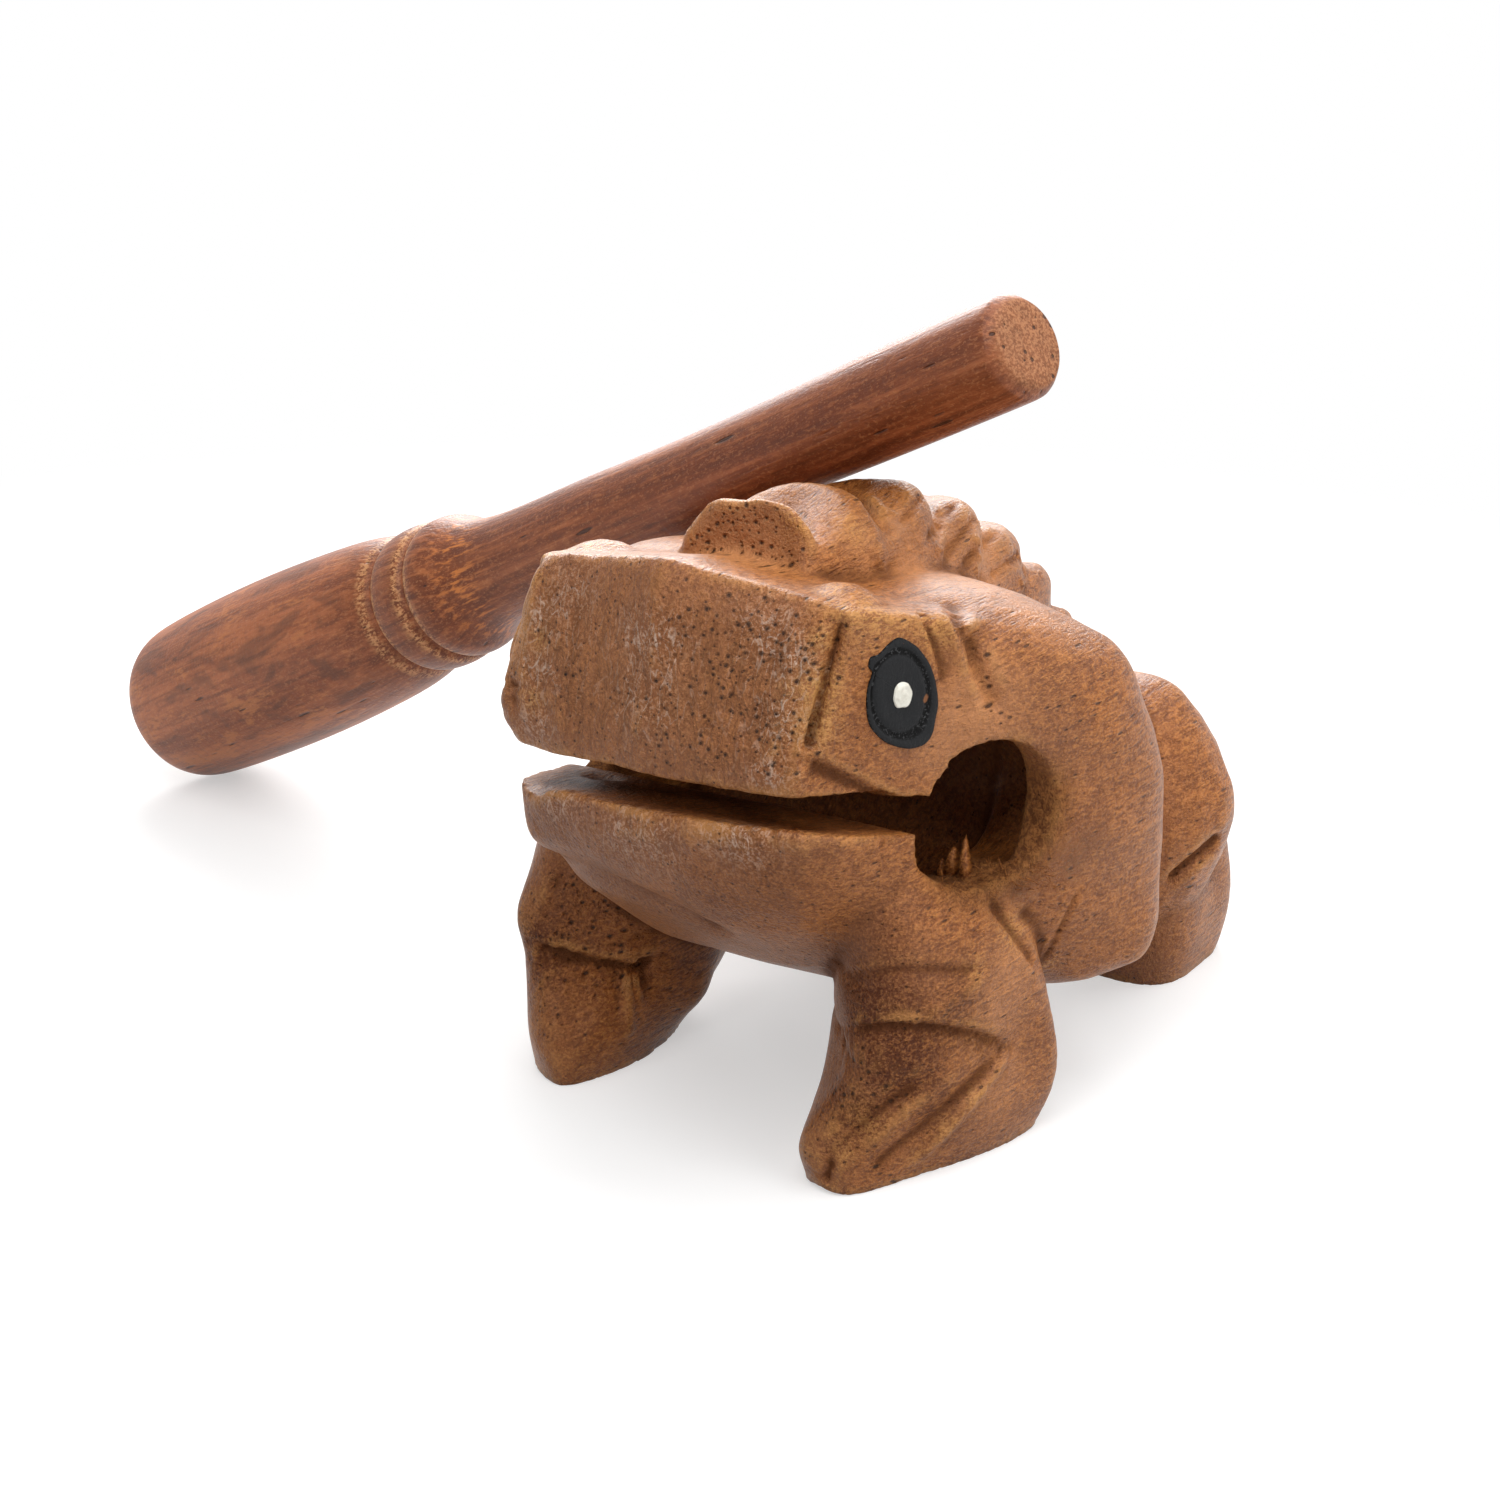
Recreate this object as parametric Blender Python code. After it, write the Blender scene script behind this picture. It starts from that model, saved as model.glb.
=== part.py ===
"""Frog guiro: a carved hardwood frog with a toothed comb along its back, and its turned scraping stick.

The frog faces -Y, its own left side is +X, and it stands on the plane z = 0. Shapes are first built
around the frog's midplane (x = 0) with its toe tips near y = 0. One empty then carries the whole assembly
and puts the origin under the centre of its footprint.
"""
import math

import bmesh
import bpy
from mathutils import Matrix, Vector

MM = 0.001

# Clearances
SEAT_GAP = 0.3 * MM
PAINT_GAP = 0.06 * MM

# Comb along the back: a ridge on a circular arc, with V notches across it
# Places along it are measured on the arc, back from its highest point
CREST_RADIUS = 93.0 * MM
CREST_TOP = 68.4 * MM
CREST_TOP_Y = 12.0 * MM
COMB_FRONT_HALF_WIDTH = 8.8 * MM
COMB_HALF_WIDTH = 11.2 * MM
COMB_REAR_HALF_WIDTH = 5.6 * MM
COMB_SPREAD_TEETH = 1.6
COMB_HEIGHT = 12.0 * MM
COMB_ROOT = 7.0 * MM
COMB_ROUNDNESS = 2.9
COMB_FAR_ROUNDNESS = 2.1
TOOTH_COUNT = 7
FIRST_TOOTH = -2.2 * MM
TOOTH_PITCH = 13.1 * MM
TOOTH_LAND = 2.4 * MM
NOTCH_DEPTH = 4.6 * MM
NOTCH_WALL_RUN = 2.6 * MM
NOTCH_RAKE = 5.0 * MM
NOTCH_FADE = 0.6
NOTCH_OVERRUN = 1.15
COMB_ROOT_TAPER = 0.75

# Head
SNOUT_TOP = 66.8 * MM
SNOUT_TOP_Y = -6.8 * MM
HEAD_TOP_SLOPE = math.radians(13.0)
HEAD_TOP_FALL = math.radians(7.0)
PANEL_START_X = 18.2 * MM
PANEL_START_Y = -2.2 * MM
PANEL_LENGTH = 17.0 * MM
PANEL_FLARE = math.radians(22.5)
PANEL_LEAN = math.radians(2.5)
PANEL_MID_Z = 55.0 * MM
HEAD_BACK = 9.0 * MM
NAPE_TAPER = 0.9
SNOUT_EDGE = 1.2 * MM
SNOUT_EDGE_BACK = 0.85 * MM
STEP_SETBACK = 0.25 * MM
BROW_TOP = 63.6 * MM
BROW_X = 14.5 * MM
BROW_Y = 4.0 * MM
BROW_RADII = Vector((5.0, 6.5, 4.5)) * MM

# Mouth slot, stick hole and the hollow behind it
MOUTH_HEIGHT = 3.6 * MM
MOUTH_Z = 40.85 * MM
MOUTH_ROLL = math.radians(1.7)
MOUTH_PITCH = math.radians(13.5)
LIP_OVERLAP = 0.5 * MM
BORE_RADIUS = 8.0 * MM
BORE_Y = 16.0 * MM
BORE_Z = 37.8 * MM
HOLLOW_RADIUS = 12.0 * MM
HOLLOW_HALF_LENGTH = 19.0 * MM
HOLLOW_BACKSET = 4.5 * MM
POCKET_RADIUS = 8.0 * MM
POCKET_HALF_LENGTH = 25.8 * MM
POCKET_BACKSET = 8.0 * MM

# Belly tunnel between the legs
TUNNEL_HALF_WIDTH = 11.5 * MM
TUNNEL_HEIGHT = 12.8 * MM
TUNNEL_SQUARENESS = 2.7

# Hind legs
THIGH_CENTRE = Vector((16.5, 66.5, 20.5)) * MM
THIGH_RADII = Vector((14.0, 13.6, 16.6)) * MM
HIND_FOOT_CENTRE = Vector((18.6, 71.2)) * MM
HIND_FOOT_HALF = Vector((9.2, 11.0)) * MM
HIND_FOOT_HEIGHT = 19.0 * MM
HIND_FOOT_SQUARENESS = 3.3
HIND_FOOT_TAPER = 0.64
HIND_FOOT_BULGE_AT = 0.45
FLOOR_SINK = 4.0 * MM

# Eyes
EYE_WIDTH = 10.0 * MM
EYE_HEIGHT = 11.6 * MM
EYE_ALONG = 8.2 * MM
EYE_Z = 53.2 * MM
EYE_PAINT = 0.5 * MM
DOT_WIDTH = 2.7 * MM
DOT_HEIGHT = 2.9 * MM
DOT_PAINT = 0.35 * MM
# Height and width shares up the edge of a blob of paint
PAINT_EDGE = ((0.0, 1.0), (0.6, 0.97), (1.0, 0.84))

# Stick, measured from the round end of its handle
STICK_LENGTH = 167.4 * MM
STICK_TILT = math.radians(26.3)
STICK_YAW = math.radians(-9.2)
STICK_TOOTH = 2
STICK_BEHIND_TOOTH = 0.35 * MM
HANDLE_LENGTH = 59.2 * MM
HANDLE_RADIUS = 11.8 * MM
HANDLE_SWELL_AT = 0.34
HANDLE_SHOULDER_RADIUS = 10.7 * MM
HANDLE_SHOULDER_AT = 0.86
HANDLE_FRONT_RADIUS = 9.4 * MM
BUTT_RADIUS = 11.3 * MM
BUTT_ROUND = 2.2 * MM
GROOVE_RADIUS = 8.6 * MM
GROOVE_WIDTH = 0.7 * MM
BEAD_RADIUS = 9.6 * MM
BEAD_LENGTH = 7.2 * MM
COLLAR_RADIUS = 9.2 * MM
COLLAR_LENGTH = 3.2 * MM
NECK_RADIUS = 6.4 * MM
NECK_LENGTH = 12.0 * MM
SHAFT_RADIUS = 5.7 * MM
SHAFT_SLIM_AT = 0.5
TIP_RADIUS = 5.85 * MM
TIP_CHAMFER = 1.3 * MM

# Trunk sections along the spine, in millimetres:
# y, half width, height of the widest point, bottom,
# drop of the back below the comb's crest, squareness on top
TRUNK_SECTIONS = (
    (-3.0, 11.0, 37.0, 30.0, 22.0, 2.6),
    (4.0, 18.0, 37.0, 22.5, 15.0, 3.4),
    (12.0, 24.4, 37.0, 16.5, 8.6, 4.4),
    (20.0, 28.2, 35.0, 13.0, 8.0, 4.6),
    (28.0, 31.4, 32.0, 10.5, 8.3, 4.2),
    (35.0, 33.3, 30.0, 8.2, 8.8, 3.5),
    (41.0, 33.9, 28.0, 7.3, 9.8, 3.0),
    (45.0, 32.4, 27.0, 7.3, 10.4, 2.8),
    (49.0, 28.8, 26.5, 8.5, 10.8, 2.7),
    (54.0, 26.0, 26.0, 9.0, 11.2, 2.6),
    (62.0, 24.4, 25.0, 10.0, 11.6, 2.5),
    (70.0, 22.4, 24.0, 11.0, 11.8, 2.4),
    (78.0, 19.0, 22.5, 12.0, 10.8, 2.3),
    (84.0, 15.0, 22.0, 14.0, 9.0, 2.2),
    (88.0, 9.8, 21.5, 16.5, 6.4, 2.1),
    (90.0, 4.5, 21.0, 18.8, 4.8, 2.0),
)
UNDERSIDE_SQUARENESS = 3.2

# Head levels, in millimetres:
# height, nose y, snout corner x and y, start y of the side panel, inward tuck of the side panel
JAW_LEVELS = (
    (20.0, 5.5, 10.0, 6.5, 10.0, 6.5),
    (24.0, 0.6, 12.8, 2.6, 7.0, 4.6),
    (28.0, -4.2, 14.6, -1.4, 4.0, 3.0),
    (31.5, -7.2, 15.6, -4.0, 1.5, 1.8),
    (35.0, -9.0, 16.4, -5.4, -0.5, 0.8),
    (39.0, -9.8, 17.0, -6.2, -1.5, 0.1),
    (42.0, -9.8, 17.2, -6.4, -2.0, 0.0),
    (48.0, -9.4, 17.0, -6.4, -2.0, 0.0),
)
SNOUT_LEVELS = (
    (34.0, -9.9, 17.0, -7.4, -4.8, 0.0),
    (43.0, -9.6, 17.0, -7.2, -4.8, 0.0),
    (47.0, -9.3, 17.0, -7.0, -4.8, 0.0),
    (52.0, -8.4, 16.9, -5.4, -3.6, 0.0),
    (58.0, -7.6, 16.8, -3.8, -2.0, 0.0),
    (62.0, -7.1, 16.4, -2.6, -1.0, 0.0),
    (64.5, -6.3, 15.2, -1.4, 0.0, 1.2),
    (66.3, -4.8, 13.0, 0.2, 1.6, 3.4),
    (68.0, -2.4, 9.5, 2.6, 4.0, 7.0),
)

# Plan outlines of the left foreleg, in millimetres: height, then points round the leg from its inner toe
FORELEG_LEVELS = (
    (-2.0, ((15.0, -1.5), (20.4, -1.8), (25.0, 9.0), (28.0, 18.0), (27.5, 23.0), (16.8, 20.0), (12.4, 9.0))),
    (4.0, ((14.5, -1.8), (20.4, -2.0), (26.0, 8.0), (30.0, 19.0), (29.0, 26.0), (14.0, 24.5), (11.0, 10.0))),
    (10.0, ((15.0, 1.5), (20.4, -0.8), (26.0, 6.0), (30.0, 19.0), (29.5, 26.0), (11.6, 27.0), (10.2, 12.0))),
    (17.0, ((13.5, 6.0), (19.9, 0.8), (25.5, 5.0), (29.0, 17.0), (28.5, 25.0), (11.4, 27.0), (10.0, 14.0))),
    (24.0, ((12.5, 8.0), (18.9, 2.5), (24.5, 5.0), (27.5, 15.0), (27.0, 24.0), (11.6, 26.0), (9.8, 15.0))),
    (31.0, ((12.0, 8.0), (17.2, 3.2), (22.0, 6.2), (24.8, 15.0), (24.0, 22.0), (12.4, 24.0), (10.0, 15.0))),
    (39.0, ((12.0, 10.0), (15.0, 6.0), (18.5, 8.5), (21.0, 15.0), (20.0, 20.0), (14.0, 21.0), (10.0, 15.0))),
)

# Folds cut round the front of each foreleg, in millimetres: height at the inner edge and at the outer end
FOLD_HEIGHTS = ((22.5, 22.0), (16.8, 10.5))
FOLD_DEPTH = 1.1 * MM
FOLD_FADE = 0.9
FOLD_OPENING = 3.6 * MM
FOLD_UPPER_SHARE = 0.25
FOLD_FIRST_POINT = -5
FOLD_LAST_POINT = 13
RIGHT_FORELEG_BACKSET = 4.6 * MM
RIGHT_FORELEG_OUTSET = 4.0 * MM

# Fineness of the facets, and how far a cutter reaches past what it cuts
RING_POINTS = 32
COMB_STATIONS = 20
NOTCH_STATIONS = 12
ROW_STEPS = 3
FOLD_ROW_STEPS = 8
CORNER_STEPS = 4
CHIN_STEPS = 3
CHEEK_STEPS = 4
LUMP_SEGMENTS = 20
LUMP_RINGS = 12
HIND_FOOT_STATIONS = 8
TUNNEL_STEPS = 17
STICK_SIDES = 28
BUTT_STEPS = 5
TURNED_STEPS = 4
SEAT_ROUNDS = 50
CUT_REACH = 60.0 * MM

# Finishes: colour and roughness
WOOD_FINISH = ((0.23, 0.088, 0.026, 1.0), 0.45)
STICK_FINISH = ((0.19, 0.056, 0.022, 1.0), 0.4)
EYE_FINISH = ((0.012, 0.012, 0.013, 1.0), 0.4)
DOT_FINISH = ((0.72, 0.69, 0.62, 1.0), 0.5)
SHARP_ANGLE = math.radians(28.0)


# General modelling helpers

def mesh_object(name, bm):
    """Turn a bmesh into a linked object with outward faces."""
    bmesh.ops.triangulate(bm, faces=bm.faces[:])
    bmesh.ops.recalc_face_normals(bm, faces=bm.faces[:])
    mesh = bpy.data.meshes.new(name)
    bm.to_mesh(mesh)
    bm.free()
    obj = bpy.data.objects.new(name, mesh)
    bpy.context.scene.collection.objects.link(obj)
    return obj


def loft(name, rings):
    """Skin a closed solid over rings of equal point counts, with a flat cap at both ends."""
    bm = bmesh.new()
    loops = [[bm.verts.new(point) for point in ring] for ring in rings]
    count = len(loops[0])
    for low, high in zip(loops, loops[1:]):
        for i in range(count):
            j = (i + 1) % count
            bm.faces.new((low[i], low[j], high[j], high[i]))
    bm.faces.new(loops[0])
    bm.faces.new(loops[-1])
    return mesh_object(name, bm)


def block(name, low, high, turn=Matrix()):
    """Make a box between two corners, then turn it about the origin."""
    middle = (Vector(low) + Vector(high)) / 2
    size = Vector(high) - Vector(low)
    bm = bmesh.new()
    place = turn @ Matrix.Translation(middle) @ Matrix.Diagonal((*size, 1.0))
    bmesh.ops.create_cube(bm, size=1.0, matrix=place)
    return mesh_object(name, bm)


def rounded_lump(name, centre, radii):
    """Make an ellipsoid."""
    bm = bmesh.new()
    place = Matrix.Translation(centre) @ Matrix.Diagonal((*radii, 1.0))
    bmesh.ops.create_uvsphere(bm, u_segments=LUMP_SEGMENTS, v_segments=LUMP_RINGS, radius=1.0, matrix=place)
    return mesh_object(name, bm)


def combine(body, tool, operation):
    """Join a tool shape to a body, or cut it out, and remove the tool."""
    modifier = body.modifiers.new(operation.lower(), "BOOLEAN")
    modifier.operation = operation
    modifier.solver = "EXACT"
    modifier.object = tool
    depsgraph = bpy.context.evaluated_depsgraph_get()
    mesh = bpy.data.meshes.new_from_object(body.evaluated_get(depsgraph))
    body.modifiers.clear()
    body.data = mesh
    bpy.data.objects.remove(tool)


def curve_point(before, start, end, after, t):
    """Read a smooth curve between start and end."""
    linear = end - before
    square = 2 * before - 5 * start + 4 * end - after
    cube = 3 * start - before - 3 * end + after
    return start + 0.5 * t * (linear + t * (square + t * cube))


def smooth_rows(rows, steps):
    """Fill rows of numbers in along a smooth curve, with steps to each stretch."""
    rows = [Vector(row) for row in rows]
    padded = [2 * rows[0] - rows[1]] + rows + [2 * rows[-1] - rows[-2]]
    filled = []
    for i in range(len(rows) - 1):
        filled += [curve_point(*padded[i:i + 4], k / steps) for k in range(steps)]
    return filled + [rows[-1]]


def smooth_loop(points, steps):
    """Round a closed outline off along a smooth curve through its points."""
    points = [Vector(point) for point in points]
    count = len(points)
    filled = []
    for i in range(count):
        stretch = [points[(i + k - 1) % count] for k in range(4)]
        filled += [curve_point(*stretch, k / steps) for k in range(steps)]
    return filled


def signed_power(value, power):
    return math.copysign(abs(value) ** power, value)


# Frog body

def crest_height(y):
    """Height of the comb's crest over the midplane."""
    return CREST_TOP - CREST_RADIUS + math.sqrt(CREST_RADIUS ** 2 - (y - CREST_TOP_Y) ** 2)


def comb_end():
    """Place of the comb's rear end along its arc."""
    return tooth_place(TOOTH_COUNT - 1) + TOOTH_PITCH / 2


def comb_half_width(along):
    """The comb narrows towards the snout and towards the tail."""
    share = min(max(along / comb_end(), 0.0), 1.0)
    spread = COMB_SPREAD_TEETH * TOOTH_PITCH
    front = min(max(1.0 - (along - FIRST_TOOTH) / spread, 0.0), 1.0)
    narrowing = (COMB_HALF_WIDTH - COMB_FRONT_HALF_WIDTH) * front ** 2
    return COMB_HALF_WIDTH - narrowing + (COMB_REAR_HALF_WIDTH - COMB_HALF_WIDTH) * share ** 2


def comb_drop(x, half_width):
    """How far the comb's arched section lies below its crest, rounder on the side that the stick leans on."""
    share = min(abs(x) / half_width, 1.0)
    roundness = COMB_ROUNDNESS if x > 0 else COMB_FAR_ROUNDNESS
    return COMB_HEIGHT * (1.0 - (1.0 - share ** roundness) ** (1.0 / roundness))


def comb_point(x, along, lift):
    """A point beside the crest, by its place along the arc and its height above the arc."""
    angle = along / CREST_RADIUS
    reach = CREST_RADIUS + lift
    y = CREST_TOP_Y + reach * math.sin(angle)
    return Vector((x, y, CREST_TOP - CREST_RADIUS + reach * math.cos(angle)))


def tooth_place(index):
    return FIRST_TOOTH + TOOTH_PITCH * index


def trunk_ring(row):
    y, half_width, widest, bottom, drop = (value * MM for value in row[:5])
    top = crest_height(y) - drop
    ring = []
    for i in range(RING_POINTS):
        angle = 2 * math.pi * i / RING_POINTS
        squareness = row[5] if math.sin(angle) > 0 else UNDERSIDE_SQUARENESS
        across = signed_power(math.cos(angle), 2 / squareness)
        upward = signed_power(math.sin(angle), 2 / squareness)
        reach = top - widest if upward > 0 else widest - bottom
        ring.append(Vector((half_width * across, y, widest + reach * upward)))
    return ring


def make_trunk():
    return loft("trunk", [trunk_ring(row) for row in smooth_rows(TRUNK_SECTIONS, ROW_STEPS)])


def panel_point(along, z, tuck=0.0, start_y=PANEL_START_Y):
    """A point of the left eye panel's plane, by its distance back from the snout and its height."""
    lean = (PANEL_MID_Z - z) * math.tan(PANEL_LEAN)
    start_x = PANEL_START_X + (start_y - PANEL_START_Y) * math.tan(PANEL_FLARE)
    x = start_x + lean - tuck + along * math.sin(PANEL_FLARE)
    return Vector((x, start_y + along * math.cos(PANEL_FLARE), z))


def mirrored_ring(nose, side, nape):
    """Close a plan outline: its nose, its left side, its nape and its mirrored right side."""
    right = [Vector((-point.x, point.y, point.z)) for point in reversed(side)]
    return [nose] + side + [nape] + right


def level_points(row):
    """The points that a level of the head hangs on."""
    z, nose_y, corner_x, corner_y, start_y, tuck = (value * MM for value in row)
    panel = [panel_point(along, z, tuck, start_y) for along in (0.0, PANEL_LENGTH / 2, PANEL_LENGTH)]
    nose = Vector((0.0, nose_y, z))
    corner = Vector((corner_x, corner_y, z))
    back = Vector((panel[2].x * NAPE_TAPER, panel[2].y + HEAD_BACK, z))
    nape = Vector((0.0, panel[2].y + HEAD_BACK, z))
    return nose, corner, panel, back, nape


def snout_ring(row):
    """A level of the upper head: two front facets, a step at the snout's corner and the flat eye panel."""
    nose, corner, panel, back, nape = level_points(row)
    inward = Vector((SNOUT_EDGE, 0.0, 0.0))
    backward = Vector((0.0, SNOUT_EDGE_BACK, 0.0))
    step_foot = panel[0] - Vector((STEP_SETBACK, STEP_SETBACK, 0.0))
    step_foot.x = min(corner.x, step_foot.x)
    side = [(nose + corner) / 2, corner - inward, corner + backward, step_foot] + panel + [back]
    return mirrored_ring(nose, side, nape)


def jaw_ring(row):
    """A level of the lower jaw and throat, rounded from the chin to the cheek."""
    nose, corner, panel, back, nape = level_points(row)
    far_corner = Vector((-corner.x, corner.y, corner.z))
    hooks = [far_corner, nose, corner, panel[1], panel[2]]
    chin = [curve_point(*hooks[0:4], (i + 1) / CHIN_STEPS) for i in range(CHIN_STEPS)]
    cheek = [curve_point(*hooks[1:5], (i + 1) / CHEEK_STEPS) for i in range(CHEEK_STEPS)]
    return mirrored_ring(nose, chin + cheek + [back], nape)


def mouth_place():
    """The middle plane of the mouth slot, which falls towards the stick hole."""
    turn = Matrix.Rotation(-MOUTH_ROLL, 4, "Y") @ Matrix.Rotation(-MOUTH_PITCH, 4, "X")
    return Matrix.Translation((0.0, 0.0, MOUTH_Z)) @ turn


def make_jaw():
    """The lower jaw and throat, up to the mouth."""
    jaw = loft("jaw", [jaw_ring(row) for row in JAW_LEVELS])
    low, high = (-CUT_REACH, -CUT_REACH, LIP_OVERLAP), (CUT_REACH, CUT_REACH, CUT_REACH)
    combine(jaw, block("above_jaw", low, high, mouth_place()), "DIFFERENCE")
    return jaw


def make_head():
    """The upper head from the mouth up, cut to its sloping roof, with a low brow over each eye."""
    head = loft("head", [snout_ring(row) for row in SNOUT_LEVELS])
    low, high = (-CUT_REACH, -CUT_REACH, -CUT_REACH), (CUT_REACH, CUT_REACH, -LIP_OVERLAP)
    combine(head, block("below_head", low, high, mouth_place()), "DIFFERENCE")
    ridge = Matrix.Translation((0.0, SNOUT_TOP_Y, SNOUT_TOP)) @ Matrix.Rotation(-HEAD_TOP_SLOPE, 4, "X")
    for side in (-1, 1):
        fall = ridge @ Matrix.Rotation(side * HEAD_TOP_FALL, 4, "Y")
        low = (-CUT_REACH, -CUT_REACH, 0.0)
        high = (CUT_REACH, CUT_REACH, CUT_REACH)
        combine(head, block("head_top_waste", low, high, fall), "DIFFERENCE")
        centre = Vector((side * BROW_X, BROW_Y, BROW_TOP - BROW_RADII.z))
        combine(head, rounded_lump("brow", centre, BROW_RADII), "UNION")
    return head


def comb_ring(along):
    half = RING_POINTS // 2
    ring = []
    half_width = comb_half_width(along)
    for i in range(half + 1):
        x = -half_width * math.cos(math.pi * i / half)
        ring.append(comb_point(x, along, -comb_drop(x, half_width)))
    root = -COMB_HEIGHT - COMB_ROOT
    return ring + [comb_point(side * COMB_ROOT_TAPER * half_width, along, root) for side in (1, -1)]


def notch_cutter(index):
    """A V cut behind one tooth: a steep wall, then a long ramp up to the next tooth, raked over the comb."""
    wall = tooth_place(index) + TOOTH_LAND / 2
    ramp_run = TOOTH_PITCH - TOOTH_LAND - NOTCH_WALL_RUN
    half_width = max(comb_half_width(wall), comb_half_width(wall + TOOTH_PITCH))
    rings = []
    for i in range(NOTCH_STATIONS + 1):
        x = NOTCH_OVERRUN * half_width * (2 * i / NOTCH_STATIONS - 1)
        spread = abs(x) / half_width
        foot = wall + NOTCH_WALL_RUN - NOTCH_RAKE * spread ** 2
        depth = NOTCH_DEPTH * (1.0 - NOTCH_FADE * spread)
        surface = -comb_drop(x, half_width)
        rings.append([
            comb_point(x, foot, surface - depth),
            comb_point(x, foot + 2 * ramp_run, surface + NOTCH_DEPTH),
            comb_point(x, foot - 2 * NOTCH_WALL_RUN, surface + NOTCH_DEPTH),
        ])
    return loft("notch", rings)


def make_comb():
    start = tooth_place(0) - TOOTH_LAND / 2
    step = (comb_end() - start) / COMB_STATIONS
    comb = loft("comb", [comb_ring(start + step * i) for i in range(COMB_STATIONS + 1)])
    for index in range(TOOTH_COUNT):
        combine(comb, notch_cutter(index), "DIFFERENCE")
    return comb


def foreleg_outlines(steps):
    """Heights and rounded plan outlines of the left foreleg."""
    rows = [[z] + [value for point in outline for value in point] for z, outline in FORELEG_LEVELS]
    outlines = []
    for row in smooth_rows(rows, steps):
        corners = [(row[i], row[i + 1]) for i in range(1, len(row), 2)]
        outlines.append((row[0] * MM, [point * MM for point in smooth_loop(corners, CORNER_STEPS)]))
    return outlines


def foreleg_place(point, z, side):
    """Put a plan point on the left or the right leg. The right foot stands further out and back."""
    if side > 0:
        return Vector((point.x, point.y, z))
    return Vector((-point.x - RIGHT_FORELEG_OUTSET, point.y + RIGHT_FORELEG_BACKSET, z))


def fold_cutter(fold, side):
    """A V cut round the front of the leg that fades out towards its outer side."""
    inner_z, outer_z = (height * MM for height in fold)
    outlines = foreleg_outlines(FOLD_ROW_STEPS)
    rings = []
    for k in range(FOLD_FIRST_POINT, FOLD_LAST_POINT + 1):
        share = (k - FOLD_FIRST_POINT) / (FOLD_LAST_POINT - FOLD_FIRST_POINT)
        z = inner_z + (outer_z - inner_z) * share
        outline = min(outlines, key=lambda entry: abs(entry[0] - z))[1]
        count = len(outline)
        point = outline[k % count]
        tangent = outline[(k + 1) % count] - outline[(k - 1) % count]
        outward = Vector((tangent.y, -tangent.x)).normalized()
        depth = FOLD_DEPTH * (1.0 - FOLD_FADE * share ** 2)
        outside = point + outward * FOLD_OPENING
        rings.append([
            foreleg_place(point - outward * depth, z, side),
            foreleg_place(outside, z - FOLD_OPENING, side),
            foreleg_place(outside, z + FOLD_UPPER_SHARE * FOLD_OPENING, side),
        ])
    return loft("fold", rings)


def make_foreleg(side):
    """A foreleg with its folds, from below the floor to inside the jaw."""
    outlines = foreleg_outlines(ROW_STEPS)
    leg = loft("foreleg", [[foreleg_place(point, z, side) for point in outline] for z, outline in outlines])
    for fold in FOLD_HEIGHTS:
        combine(leg, fold_cutter(fold, side), "DIFFERENCE")
    return leg


def make_hind_foot(side):
    """A hind foot, from below the floor to inside the thigh."""
    rings = []
    power = 2 / HIND_FOOT_SQUARENESS
    for i in range(HIND_FOOT_STATIONS + 1):
        z = (HIND_FOOT_HEIGHT + FLOOR_SINK) * i / HIND_FOOT_STATIONS - FLOOR_SINK
        swell = 1.0 - HIND_FOOT_TAPER * (z / HIND_FOOT_HEIGHT - HIND_FOOT_BULGE_AT) ** 2
        ring = []
        for k in range(RING_POINTS):
            angle = 2 * math.pi * k / RING_POINTS
            x = HIND_FOOT_CENTRE.x + HIND_FOOT_HALF.x * swell * signed_power(math.cos(angle), power)
            y = HIND_FOOT_CENTRE.y + HIND_FOOT_HALF.y * swell * signed_power(math.sin(angle), power)
            ring.append(Vector((side * x, y, z)))
        rings.append(ring)
    return loft("hind_foot", rings)


def tunnel_cutter():
    """The open arch under the belly, from between the front feet to between the hind feet."""
    outline = []
    power = 2 / TUNNEL_SQUARENESS
    for i in range(TUNNEL_STEPS + 1):
        angle = math.pi * i / TUNNEL_STEPS
        x = TUNNEL_HALF_WIDTH * signed_power(math.cos(angle), power)
        outline.append((x, TUNNEL_HEIGHT * signed_power(math.sin(angle), power)))
    outline += [(-TUNNEL_HALF_WIDTH, -CUT_REACH), (TUNNEL_HALF_WIDTH, -CUT_REACH)]
    return loft("tunnel", [[Vector((x, y, z)) for x, z in outline] for y in (-CUT_REACH, 2 * CUT_REACH)])


def cross_cylinder(name, y, z, radius, half_length):
    rings = []
    for x in (-half_length, half_length):
        ring = []
        for i in range(RING_POINTS):
            angle = 2 * math.pi * i / RING_POINTS
            ring.append(Vector((x, y + radius * math.cos(angle), z + radius * math.sin(angle))))
        rings.append(ring)
    return loft(name, rings)


def mouth_cutter():
    """The sawn mouth: a slab from in front of the lips to the stick hole."""
    low = (-CUT_REACH, -CUT_REACH, -MOUTH_HEIGHT / 2)
    high = (CUT_REACH, BORE_Y, MOUTH_HEIGHT / 2)
    return block("mouth", low, high, mouth_place())


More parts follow.
